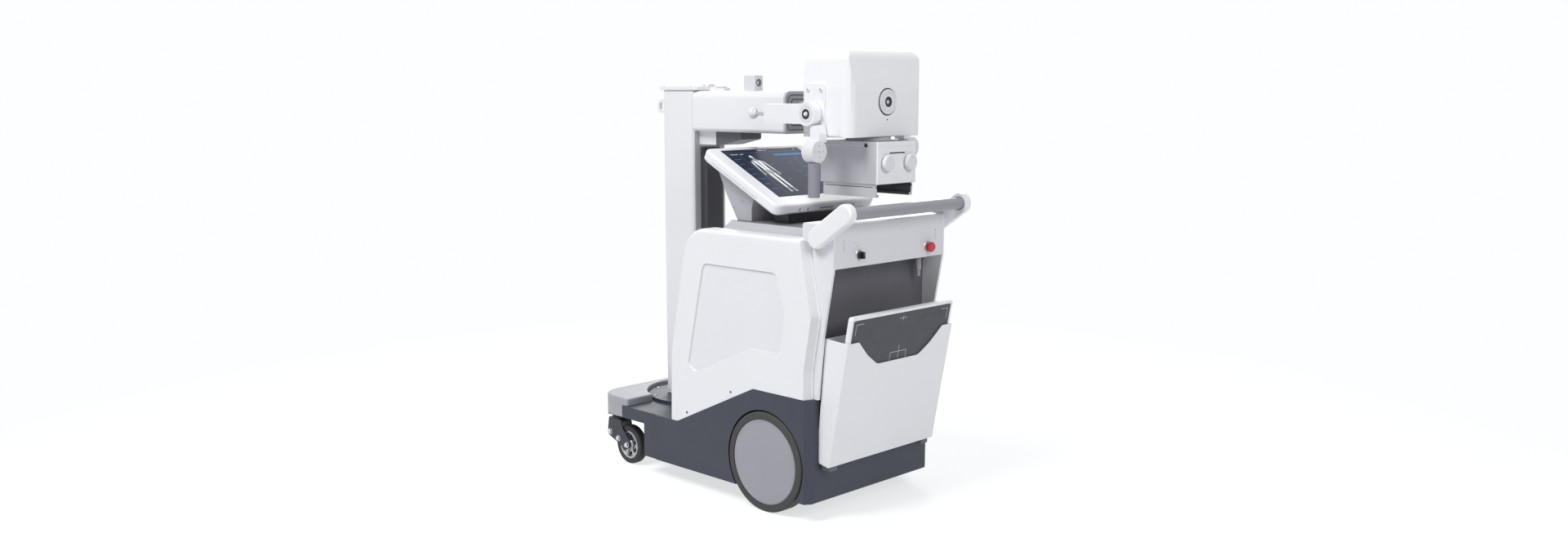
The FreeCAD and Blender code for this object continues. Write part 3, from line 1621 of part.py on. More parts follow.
def switch_barrel(across, height, radius):
    """The collar and barrel of a panel switch, seated in its hole."""
    inner = radius * 0.7
    bore = radius * 0.42
    profile = [
        (bore, -24),
        (inner, -24),
        (inner, 0),
        (radius, 0),
        (radius, 3),
        (radius - 1.5, 4.5),
        (bore, 4.5),
    ]
    return turned(profile, Vector(across, console_rear_y, height), Vector(0, -1, 0))


def key_knob():
    """The black key knob: a spindle, a round foot and a flat grip."""
    spindle = key_radius * 0.42 - running_gap
    foot = key_radius * 0.85
    face = 4.5 + seat_gap
    profile = [
        (0, -20),
        (spindle, -20),
        (spindle, face),
        (foot, face),
        (foot, face + 7),
        (foot - 2, face + 9),
        (0, face + 9),
    ]
    body = turned(profile, Vector(key_across, console_rear_y, key_z), Vector(0, -1, 0))
    rear = console_rear_y - face - 8
    grip = plate(frame_points(key_across - 4, key_across + 4, key_z - foot + 1, key_z + foot - 1, 3.5), "y",
                 rear - 9, rear)
    return joined([body, grip])


def stop_button():
    """The red mushroom stop button with its stem."""
    stem = stop_radius * 0.42 - running_gap
    face = 4.5 + stop_travel + 1
    radius = stop_radius
    profile = [
        (0, -20),
        (stem, -20),
        (stem, face),
        (radius * 0.8, face),
        (radius, face + 3),
        (radius, face + 8),
        (radius * 0.8, face + 12),
        (0, face + 13),
    ]
    return turned(profile, Vector(stop_across, console_rear_y, stop_z), Vector(0, -1, 0))


def charging_socket():
    """The stepped socket that hangs under the console at the right of the recess."""
    top = console_bottom_z - seat_gap / 10
    profile = [(0, 0), (12, 0), (12, -8), (9, -10), (9, -44), (6, -48), (6, -65), (0, -65)]
    return turned(profile, Vector(socket_across, socket_y, top), Vector(0, 0, 1))


def console_fittings():
    """The two switch barrels of the fascia and the socket under the console."""
    barrels = [switch_barrel(key_across, key_z, key_radius), switch_barrel(stop_across, stop_z, stop_radius)]
    return group(barrels + [charging_socket()])


def handle_bar():
    """The grey push bar between the pods."""
    end = pod_inner + pod_socket - 1
    return rod(handle_radius, Vector(-end, handle_y, handle_z), Vector(end, handle_y, handle_z))


def handle_pod(side):
    """A white end pod: a thick capsule from the console's cheek up to the push bar."""
    inner = pod_inner
    outer = inner + pod_thickness
    low = Vector(0, pod_low_y, pod_low_z)
    high = Vector(0, handle_y, handle_z)
    radius = pod_radius
    along = high.sub(low)
    along.normalize()
    across = Vector(0, -along.z, along.y).multiply(radius)
    corners = [low.add(across), high.add(across), high.sub(across), low.sub(across)]
    caps = [high.add(Vector(along).multiply(radius)), low.sub(Vector(along).multiply(radius))]
    place = Vector(inner, 0, 0)
    edges = [
        Part.LineSegment(corners[0].add(place), corners[1].add(place)).toShape(),
        Part.Arc(corners[1].add(place), caps[0].add(place), corners[2].add(place)).toShape(),
        Part.LineSegment(corners[2].add(place), corners[3].add(place)).toShape(),
        Part.Arc(corners[3].add(place), caps[1].add(place), corners[0].add(place)).toShape(),
    ]
    body = Part.Face(Part.Wire(edges)).extrude(Vector(outer - inner, 0, 0))
    rim = [edge for edge in body.Edges if edge.BoundBox.XMin > outer - 0.01]
    body = body.makeFillet(8, rim)
    hole = Vector(inner - 1, handle_y, handle_z)
    body = body.cut(rod(handle_radius + seat_gap / 10, hole, hole.add(Vector(pod_socket + 1, 0, 0))))
    return body if side > 0 else mirrored(body)


def detector_bin():
    """The white tilted pocket for the detector, with a dipped front edge."""
    half = bin_half_width
    wall = bin_wall
    back_y = chassis_rear_y - seat_gap
    back_z = on_line((bin_front_bottom_z, bin_front_bottom_y), (bin_front_top_z, bin_front_top_y), back_y)
    outer_points = [
        (back_y, bin_front_bottom_z, 2),
        (back_y, back_z, 0),
        (bin_front_top_y, bin_front_top_z, 0),
        (bin_face_top_y, bin_face_top_z, 0),
        (bin_face_bottom_y, bin_face_bottom_z, 6),
    ]
    body = plate(outer_points, "x", -half, half)
    inner_points = [
        (bin_front_y(bin_floor_z) - wall, bin_floor_z, 0),
        (bin_front_y(bin_front_top_z + 20) - wall, bin_front_top_z + 20, 0),
        (bin_face_y(bin_face_top_z + 26) + wall, bin_face_top_z + 26, 0),
        (bin_face_y(bin_floor_z) + wall, bin_floor_z, 0),
    ]
    body = body.cut(plate(inner_points, "x", -half + wall, half - wall))
    low = bin_face_top_z - notch_depth
    wide = notch_half_width + notch_shoulder
    top = bin_face_top_z + 40
    notch = [
        (-wide, top, 0),
        (-wide, bin_face_top_z + 4, 0),
        (-wide + 10, bin_face_top_z - 6, 30),
        (-notch_half_width - 42, low + 34, 60),
        (-notch_half_width + 8, low, 34),
        (notch_half_width - 8, low, 34),
        (notch_half_width + 42, low + 34, 60),
        (wide - 10, bin_face_top_z - 6, 30),
        (wide, bin_face_top_z + 4, 0),
        (wide, top, 0),
    ]
    deepest = bin_face_y(low) + wall + 2
    return body.cut(plate(notch, "y", bin_face_top_y - 20, deepest)).removeSplitter()


def bin_brackets():
    """The small brackets under the bin that hook it to the chassis."""
    pieces = []
    for side in (-1, 1):
        across = sorted((side * (bin_half_width - 12), side * (bin_half_width - 44)))
        low = bin_face_bottom_z - bracket_drop
        high = bin_face_bottom_z - seat_gap / 10
        rear = bin_face_bottom_y + 8
        pieces.append(block(across[0], across[1], rear, chassis_rear_y - seat_gap / 10, low, high))
    return group(pieces)


def detector_slope():
    """The unit vector up the bin's face."""
    way = Vector(0, bin_face_top_y - bin_face_bottom_y, bin_face_top_z - bin_face_bottom_z)
    way.normalize()
    return way


def leaning_slab(half_width, low, high, rear, front, radius):
    """A slab parallel to the bin's face: `low` to `high` up the slope, `rear` to `front` off the face."""
    up = detector_slope()
    inward = Vector(0, up.z, -up.y)
    foot = Vector(0, bin_face_y(bin_floor_z) + bin_wall, bin_floor_z)
    tilt = math.degrees(math.atan2(-up.y, up.z))
    body = plate(frame_points(-half_width, half_width, low, high, radius), "y", rear, front)
    body.rotate(Vector(0, 0, 0), Vector(1, 0, 0), tilt)
    body.translate(foot)
    return body, up, inward


def detector_shell():
    """The flat detector's white-edged case, standing on the bin's floor against its face."""
    half = detector_width / 2
    lift = seat_gap
    depth = 1.0
    body = leaning_slab(half, lift, lift + detector_height, depth, depth + detector_thickness, 10)[0]
    inner = detector_border
    low = lift + inner
    high = lift + detector_height - inner
    pocket = leaning_slab(half - inner, low, high, depth - 1, depth + 2, 6)[0]
    return body.cut(pocket)


def detector_face():
    """The dark front plate of the detector."""
    half = detector_width / 2 - detector_border - seat_gap / 10
    lift = seat_gap + detector_border + seat_gap / 10
    high = lift + detector_height - 2 * detector_border - seat_gap / 5
    return leaning_slab(half, lift, high, 1.2, 3.0 - seat_gap / 10, 6)[0]


def monitor_frame(along, rise):
    """A side view point (y, z) on the monitor: along its slope and below its top plane."""
    length = math.sqrt(1 + monitor_slope ** 2)
    way = (1 / length, monitor_slope / length)
    return (monitor_near_y + way[0] * along + way[1] * rise, monitor_near_z + way[1] * along - way[0] * rise)


def monitor_length():
    """The monitor's size up its slope."""
    return (monitor_far_y - monitor_near_y) * math.sqrt(1 + monitor_slope ** 2)


def tilted(shape):
    """A shape drawn flat at the monitor's near edge, turned up to its slope."""
    shape.rotate(Vector(0, 0, 0), Vector(1, 0, 0), math.degrees(math.atan(monitor_slope)))
    shape.translate(Vector(0, monitor_near_y, monitor_near_z))
    return shape


def monitor_housing():
    """The white monitor case with a sunken field for the screen."""
    half = monitor_half_width
    length = monitor_length()
    thick = monitor_thickness
    body = plate(frame_points(-half, half, 0, length, monitor_corner_radius), "z", -thick, 0)
    top = [edge for edge in body.Edges if abs(edge.CenterOfMass.z) < 0.01]
    body = body.makeFillet(8, top)
    under = [edge for edge in body.Edges if abs(edge.CenterOfMass.z + thick) < 0.01]
    body = body.makeChamfer(7, under)
    screen = screen_points(0)
    body = body.cut(plate(screen, "z", -3, 1))
    for across in (-120, -84, 84, 120):
        slot = plate(frame_points(across - 2.5, across + 2.5, -1, 3, 0), "z", -24, -14)
        body = body.cut(slot)
    body = body.cut(block(-30, 30, -1, 4, -21, -17))
    return tilted(body)


def screen_points(gap):
    """The outline of the screen on the monitor's top plane."""
    half = screen_half_width - gap
    low = screen_near_margin + gap
    high = monitor_length() - screen_far_margin - gap
    return frame_points(-half, half, low, high, 3)


def monitor_screen():
    """The glass of the touch screen, set flush in its case."""
    return tilted(plate(screen_points(seat_gap / 10), "z", -3 + seat_gap / 10, -0.4))


def deck_top_z():
    """The height of the deck under the monitor."""
    return panel_top_z - cover_inset + seat_gap + deck_thickness


def monitor_pedestal():
    """The light-grey stand: two leaning cheeks joined by a rear wall and a floor."""
    half = pedestal_half_width
    wall = pedestal_wall
    low = deck_top_z() + seat_gap
    top_front = monitor_frame(monitor_length() - 24, monitor_thickness + seat_gap)
    top_rear = monitor_frame(monitor_length() * 0.36, monitor_thickness + seat_gap)
    rear = pedestal_foot_rear_y
    front = pedestal_foot_front_y
    knee_z = monitor_near_z - 4
    outline_points = [
        (rear, low, 0),
        (front, low, 0),
        (pedestal_knee_y, monitor_near_z + 18, 60),
        (top_front[0], top_front[1], 0),
        (top_rear[0], top_rear[1], 0),
        (rear, knee_z, 70),
    ]
    cheek = plate(outline_points, "x", half - wall, half)
    core_points = [
        (rear, low, 0),
        (rear + 4, low, 0),
        (rear + 4, knee_z, 66),
        (top_rear[0] + 5, top_rear[1] - 1, 0),
        (top_rear[0], top_rear[1], 0),
        (rear, knee_z, 70),
    ]
    rear_wall = plate(core_points, "x", -half + 1, half - 1)
    floor = block(-half + 1, half - 1, rear, front, low, low + 5)
    return joined([cheek, mirrored(cheek), rear_wall, floor])


def monitor_rest():
    """The black block on the deck that the monitor's near edge rests on."""
    half = rest_block_half_width
    low = deck_top_z() + seat_gap
    near = monitor_frame(rest_block_start, monitor_thickness + seat_gap)
    far = monitor_frame(rest_block_end, monitor_thickness + seat_gap)
    points = [(near[0], low, 2), (far[0], low, 2), (far[0], far[1], 0), (near[0], near[1], 0)]
    return plate(points, "x", -half, half)


def battery_pack():
    """Two batteries in the floor of the chassis."""
    pieces = []
    low = chassis_bottom_z + chassis_wall + seat_gap
    start = chassis_rear_y + chassis_wall + battery_rear_gap
    for side in (-1, 1):
        across = sorted((side * 3, side * battery_half_width))
        pieces.append(block(across[0], across[1], start, start + battery_length, low, low + battery_height))
    return group(pieces)


def generator():
    """The high-voltage generator inside the cabinet, on the chassis."""
    low = chassis_rear_top_z + seat_gap
    half = generator_half_width
    start = recess_wall_y + recess_thickness + 8
    return block(-half, half, start, start + generator_length, low, low + generator_height)


def both(maker):
    """The left and the right copy of a piece that share one node."""
    return group(maker(-1).Solids + maker(1).Solids)


def build_model():
    """Every node of the machine by name."""
    model = {
        "chassis_base": chassis_base(),
        "turntable_ring": turntable_ring(),
        "bumper": bumper(),
        "wheel_mounts": group(both(drive_axle).Solids + both(caster_plate).Solids),
        "power_units": group(battery_pack().Solids + [generator()]),
        "side_panels": both(side_panel),
        "front_cover": front_cover(),
        "top_deck": top_deck(),
        "console_housing": console_housing(),
        "recess_panel": recess_panel(),
        "control_panel": control_panel(),
        "console_fittings": console_fittings(),
        "key_knob": key_knob(),
        "stop_button": stop_button(),
        "handle_bar": handle_bar(),
        "handle_pods": both(handle_pod),
        "detector_bin": group([detector_bin()] + bin_brackets().Solids),
        "detector_shell": detector_shell(),
        "detector_face": detector_face(),
        "monitor_housing": monitor_housing(),
        "monitor_screen": monitor_screen(),
        "monitor_pedestal": monitor_pedestal(),
        "monitor_rest": monitor_rest(),
        "column_outer": group([column_outer(), lift_tube()]),
        "cable_cover": cable_cover(),
        "column_hook": column_hook(),
        "mast": group([mast(), lift_rod()] + mast_glides().Solids),
        "cap_plate": group([cap_plate(), cap_clip()]),
        "arm_housing": group([arm_housing(), arm_bracket(), arm_cable_block()]),
        "arm_collar": arm_collar(),
        "arm_camera": group([arm_camera(), camera_lens()]),
        "arm_stage_1": arm_stage_1(),
        "arm_stage_2": arm_stage_2(),
        "yoke": yoke(),
        "lock_knob": group([lock_shaft(), lock_knob()]),
        "head_housing": head_housing(),
        "side_plates": both(side_plate),
        "trunnions": both(trunnion),
        "angle_dials": group(both(tilt_dial).Solids + [head_dial()] + dial_balls().Solids),
        "tube_insert": tube_insert(),
        "hand_pads": both(hand_pad),
        "hand_grips": both(hand_grip),
        "collimator_ring": collimator_ring(),
        "collimator_body": collimator_body(),
        "collimator_blades": collimator_blades(),
        "light_window": light_window(),
        "lamp_button": lamp_button(),
        "accessory_rails": accessory_rails(),
    }
    for name, side in (("left", -1), ("right", 1)):
        model["drive_tyre_" + name] = drive_tyre(side)
        model["drive_hub_" + name] = drive_hub(side)
        model["caster_fork_" + name] = group([caster_fork(side)] + caster_axle(side).Solids)
        model["caster_rim_" + name] = caster_rim(side)
        model["caster_tyre_" + name] = caster_tyre(side)
        model["collimator_knob_" + name] = collimator_knob(side)
    return model


os.makedirs("parts", exist_ok=True)
for node, solid in build_model().items():
    solid.exportStep("parts/" + node + ".step")
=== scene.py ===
"""Looks of a mobile x-ray machine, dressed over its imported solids.

Every length is in metres, in the machine's own frame: X across, +Y the way it drives, +Z up, floor at 0.
"""

import logging
import math
from dataclasses import dataclass
from dataclasses import field
from enum import Enum

import bmesh
import bpy
from mathutils import Matrix
from mathutils import Vector


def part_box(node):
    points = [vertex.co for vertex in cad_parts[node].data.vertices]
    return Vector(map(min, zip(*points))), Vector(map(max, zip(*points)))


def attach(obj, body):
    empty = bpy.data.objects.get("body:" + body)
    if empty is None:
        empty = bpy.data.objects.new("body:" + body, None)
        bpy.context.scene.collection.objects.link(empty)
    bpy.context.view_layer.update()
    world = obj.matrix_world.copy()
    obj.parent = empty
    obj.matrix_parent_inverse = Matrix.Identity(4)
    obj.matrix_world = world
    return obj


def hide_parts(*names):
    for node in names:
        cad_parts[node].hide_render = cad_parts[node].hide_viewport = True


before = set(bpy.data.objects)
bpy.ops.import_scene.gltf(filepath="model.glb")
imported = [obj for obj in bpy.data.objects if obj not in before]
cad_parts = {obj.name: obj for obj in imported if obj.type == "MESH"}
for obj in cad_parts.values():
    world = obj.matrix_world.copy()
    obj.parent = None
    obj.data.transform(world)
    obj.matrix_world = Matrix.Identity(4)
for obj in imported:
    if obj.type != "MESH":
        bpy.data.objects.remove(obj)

log = logging.getLogger("xray_cart")

MM = 0.001

Colour = tuple[float, float, float, float]
Stretch = tuple[float, float, float]
EVEN: Stretch = (1.0, 1.0, 1.0)


class Side(Enum):
    """The two sides of the machine, with their sign along X."""

    LEFT = -1
    RIGHT = 1

    @property
    def word(self) -> str:
        """The side's name as the nodes spell it."""
        return self.name.lower()

    @property
    def way(self) -> Vector:
        """The direction that this side faces."""
        return Vector((self.value, 0, 0))

    def spot(self, across: float, y: float, z: float) -> Vector:
        """A point on this side, by its distance from the middle."""
        return Vector((self.value * across, y, z))


class Way(Enum):
    """The directions off the sides' own that a face can look."""

    FRONT = Vector((0, 1, 0))
    REAR = Vector((0, -1, 0))
    UP = Vector((0, 0, 1))


def tint(code: str) -> Colour:
    """Turns a screen colour into the linear colour that a shader takes.

    Args:
        code: Six hexadecimal digits after a hash sign.

    Returns:
        Red, green, blue and an opaque alpha.
    """
    parts = []
    for start in (1, 3, 5):
        value = int(code[start:start + 2], 16) / 255
        parts.append(value / 12.92 if value <= 0.04045 else ((value + 0.055) / 1.055) ** 2.4)
    return (parts[0], parts[1], parts[2], 1.0)


def darker(colour: Colour, share: float) -> Colour:
    """A colour with a share of its light taken away."""
    keep = 1 - share
    return (colour[0] * keep, colour[1] * keep, colour[2] * keep, 1.0)


@dataclass
class Brush:
    """The shader of one finish in the making.

    Attributes:
        tree: The material's node tree.
        shader: The main shader.
        place: The object's own coordinates.
    """

    tree: bpy.types.NodeTree
    shader: bpy.types.Node
    place: bpy.types.NodeSocket

    def fix(self, name: str, value: float | Colour) -> None:
        """Sets one of the shader's values."""
        self.shader.inputs[name].default_value = value

    def drive(self, name: str, value: bpy.types.NodeSocket) -> None:
        """Links a value to one of the shader's inputs."""
        self.tree.links.new(value, self.shader.inputs[name])

    def noise(self, scale: float, detail: float = 3.0, stretch: Stretch = EVEN) -> bpy.types.NodeSocket:
        """Adds a noise that lies on the object's own coordinates.

        Args:
            scale: How many cells lie on a metre.
            detail: How many finer layers the noise has.
            stretch: How much closer the cells lie along each axis.

        Returns:
            The noise's height, from 0 to 1.
        """
        source = self.place
        if stretch != EVEN:
            mapping = self.tree.nodes.new("ShaderNodeMapping")
            mapping.inputs["Scale"].default_value = stretch
            self.tree.links.new(self.place, mapping.inputs["Vector"])
            source = mapping.outputs["Vector"]
        cells = self.tree.nodes.new("ShaderNodeTexNoise")
        cells.inputs["Scale"].default_value = scale
        cells.inputs["Detail"].default_value = detail
        self.tree.links.new(source, cells.inputs["Vector"])
        return cells.outputs["Fac"]

    def spread(self, value: bpy.types.NodeSocket, low: float, high: float, start: float = 0.3,
               end: float = 0.7) -> bpy.types.NodeSocket:
        """Maps a noise's middle range to two limits.

        Args:
            value: The noise.
            low: What its low end gives.
            high: What its high end gives.
            start: Where its low end lies.
            end: Where its high end lies.

        Returns:
            The mapped value.
        """
        ramp = self.tree.nodes.new("ShaderNodeMapRange")
        for name, setting in (("From Min", start), ("From Max", end), ("To Min", low), ("To Max", high)):
            ramp.inputs[name].default_value = setting
        self.tree.links.new(value, ramp.inputs["Value"])
        return ramp.outputs["Result"]

    def mottle(self, name: str, share: bpy.types.NodeSocket, first: Colour, second: Colour) -> None:
        """Gives one of the shader's colours a mix of two, by a share.

        Args:
            name: The shader's input.
            share: How much of the second colour shows.
            first: The first colour.
            second: The second colour.
        """
        mix = self.tree.nodes.new("ShaderNodeMix")
        mix.data_type = "RGBA"
        colours = [socket for socket in mix.inputs if socket.type == "RGBA"]
        colours[0].default_value = first
        colours[1].default_value = second
        self.tree.links.new(share, mix.inputs[0])
        self.drive(name, next(socket for socket in mix.outputs if socket.type == "RGBA"))

    def relief(self, height: bpy.types.NodeSocket, depth: float, strength: float) -> None:
        """Gives the shader a bump from a height.

        Args:
            height: The height, from 0 to 1.
            depth: How deep the bump is, in metres.
            strength: How much of the bump shows.
        """
        bump = self.tree.nodes.new("ShaderNodeBump")
        bump.inputs["Strength"].default_value = strength
        bump.inputs["Distance"].default_value = depth
        self.tree.links.new(height, bump.inputs["Height"])
        self.drive("Normal", bump.outputs["Normal"])


@dataclass(frozen=True)
class Finish:
    """A finish that covers a piece, as the maker would name it.

    Attributes:
        name: The finish's name, which its material takes.
        code: The colour as it shows in plain light.
    """

    name: str
    code: str

    def material(self) -> bpy.types.Material:
        """Gives the material of this finish, made once.

        Returns:
            The material.
        """
        made = bpy.data.materials.get(self.name)
        if made is not None:
            return made
        made = bpy.data.materials.new(self.name)
        made.use_nodes = True
        tree = made.node_tree
        tree.nodes.clear()
        output = tree.nodes.new("ShaderNodeOutputMaterial")
        shader = tree.nodes.new("ShaderNodeBsdfPrincipled")
        place = tree.nodes.new("ShaderNodeTexCoord")
        tree.links.new(shader.outputs["BSDF"], output.inputs["Surface"])
        brush = Brush(tree, shader, place.outputs["Object"])
        brush.fix("Base Color", tint(self.code))
        self.dress(brush)
        return made

    def dress(self, brush: Brush) -> None:
        """Adds what makes this finish itself. The plain finish adds nothing."""


@dataclass(frozen=True)
class Lacquer(Finish):
    """Sprayed lacquer or moulded plastic with a fine orange peel.

    Attributes:
        gloss: The roughness, low for glossy.
        peel: How many peel cells lie on a metre.
        depth: The depth of the peel.
        mottle: How much darker the faint clouds of handling are.
        coat: The clear coat's weight.
    """

    gloss: float = 0.38
    peel: float = 900.0
    depth: float = 0.00006
    mottle: float = 0.035
    coat: float = 0.0

    def dress(self, brush: Brush) -> None:
        """Adds the peel, the clouds of handling and the uneven gloss.

        Args:
            brush: The brush with the shader.
        """
        base = tint(self.code)
        clouds = brush.spread(brush.noise(3.5, 5.0), 0.0, 1.0)
        brush.mottle("Base Color", clouds, base, darker(base, self.mottle))
        brush.drive("Roughness", brush.spread(brush.noise(14.0, 6.0), self.gloss - 0.02, self.gloss + 0.04))
        brush.relief(brush.noise(self.peel, 2.0), self.depth, 0.35)
        brush.fix("Coat Weight", self.coat)
        brush.fix("Coat Roughness", 0.18)
        brush.fix("Specular IOR Level", 0.45)


@dataclass(frozen=True)
class PowderCoat(Lacquer):
    """Powder coat on metal, with a wider and deeper peel than lacquer."""

    gloss: float = 0.42
    peel: float = 700.0
    depth: float = 0.00008


@dataclass(frozen=True)
class GrainedPlastic(Finish):
    """Moulded plastic with a spark-eroded grain.

    Attributes:
        gloss: The roughness.
        grain: How many grains lie on a metre.
        depth: The depth of the grain.
        wear: How much darker the handled spots are.
    """

    gloss: float = 0.6
    grain: float = 1500.0
    depth: float = 0.00012
    wear: float = 0.06

    def dress(self, brush: Brush) -> None:
        """Adds the grain, the handled spots and the uneven gloss.

        Args:
            brush: The brush with the shader.
        """
        base = tint(self.code)
        spots = brush.spread(brush.noise(9.0, 6.0), 0.0, 1.0, 0.35, 0.75)
        brush.mottle("Base Color", spots, base, darker(base, self.wear))
        brush.drive("Roughness", brush.spread(brush.noise(30.0, 4.0), self.gloss - 0.08, self.gloss + 0.06))
        brush.relief(brush.noise(self.grain, 3.0), self.depth, 0.5)
        brush.fix("Specular IOR Level", 0.4)


@dataclass(frozen=True)
class Rubber(Finish):
    """Black rubber with bloom and fine dust in its pores.

    Attributes:
        bloom: The colour of the dusty bloom.
    """

    bloom: str = "#5C5C5E"

    def dress(self, brush: Brush) -> None:
        """Adds the bloom, the pores and the soft gloss.

        Args:
            brush: The brush with the shader.
        """
        dust = brush.spread(brush.noise(22.0, 8.0), 0.0, 0.5)
        brush.mottle("Base Color", dust, tint(self.code), tint(self.bloom))
        pores = brush.noise(1300.0, 4.0)
        brush.drive("Roughness", brush.spread(pores, 0.62, 0.82))
        brush.relief(pores, 0.00015, 0.6)
        brush.fix("Sheen Weight", 0.1)


@dataclass(frozen=True)
class Metal(Finish):
    """Bare or plated metal with a drawn grain.

    Attributes:
        gloss: The roughness.
        stretch: How the grain is squeezed along each axis.
        depth: The depth of the grain.
    """

    gloss: float = 0.3
    stretch: Stretch = EVEN
    depth: float = 0.00003

    def dress(self, brush: Brush) -> None:
        """Adds the drawn grain and its uneven shine.

        Args:
            brush: The brush with the shader.
        """
        base = tint(self.code)
        drawn = brush.noise(420.0, 4.0, self.stretch)
        brush.mottle("Base Color", brush.spread(drawn, 0.0, 1.0), base, darker(base, 0.12))
        brush.drive("Roughness", brush.spread(drawn, self.gloss - 0.05, self.gloss + 0.1))
        brush.relief(drawn, self.depth, 0.4)
        brush.fix("Metallic", 1.0)


@dataclass(frozen=True)
class ScreenGlass(Finish):
    """The lit glass of the touch screen, with a faint glow that falls off in clouds.

    Attributes:
        glow: The colour that the panel gives off.
    """

    glow: str = "#2B3145"

    def dress(self, brush: Brush) -> None:
        """Adds the panel's own light and the smudges of fingers.

        Args:
            brush: The brush with the shader.
        """
        lit = tint(self.glow)
        brush.mottle("Emission Color", brush.spread(brush.noise(5.0, 2.0), 0.0, 1.0), lit, darker(lit, 0.16))
        brush.fix("Emission Strength", 0.92)
        brush.drive("Roughness", brush.spread(brush.noise(11.0, 3.0), 0.26, 0.34))
        brush.fix("Specular IOR Level", 0.03)


@dataclass(frozen=True)
class ClearPlate(Finish):
    """The clear plastic window under the collimator, with hairline scratches."""

    def dress(self, brush: Brush) -> None:
        """Adds the clearness and the scratches.

        Args:
            brush: The brush with the shader.
        """
        brush.drive("Roughness", brush.spread(brush.noise(60.0, 5.0, (1.0, 9.0, 1.0)), 0.04, 0.16))
        brush.fix("Transmission Weight", 0.85)
        brush.fix("IOR", 1.49)


@dataclass(frozen=True)
class LitMark(Finish):
    """A mark on the screen that shines by itself.

    Attributes:
        power: How strongly it shines.
    """

    power: float = 0.9

    def dress(self, brush: Brush) -> None:
        """Adds the shine, a little uneven across the mark.

        Args:
            brush: The brush with the shader.
        """
        lit = tint(self.code)
        brush.mottle("Emission Color", brush.spread(brush.noise(60.0, 2.0), 0.0, 1.0), lit, darker(lit, 0.15))
        brush.fix("Emission Strength", self.power)
        brush.fix("Roughness", 0.4)
        brush.fix("Specular IOR Level", 0.05)


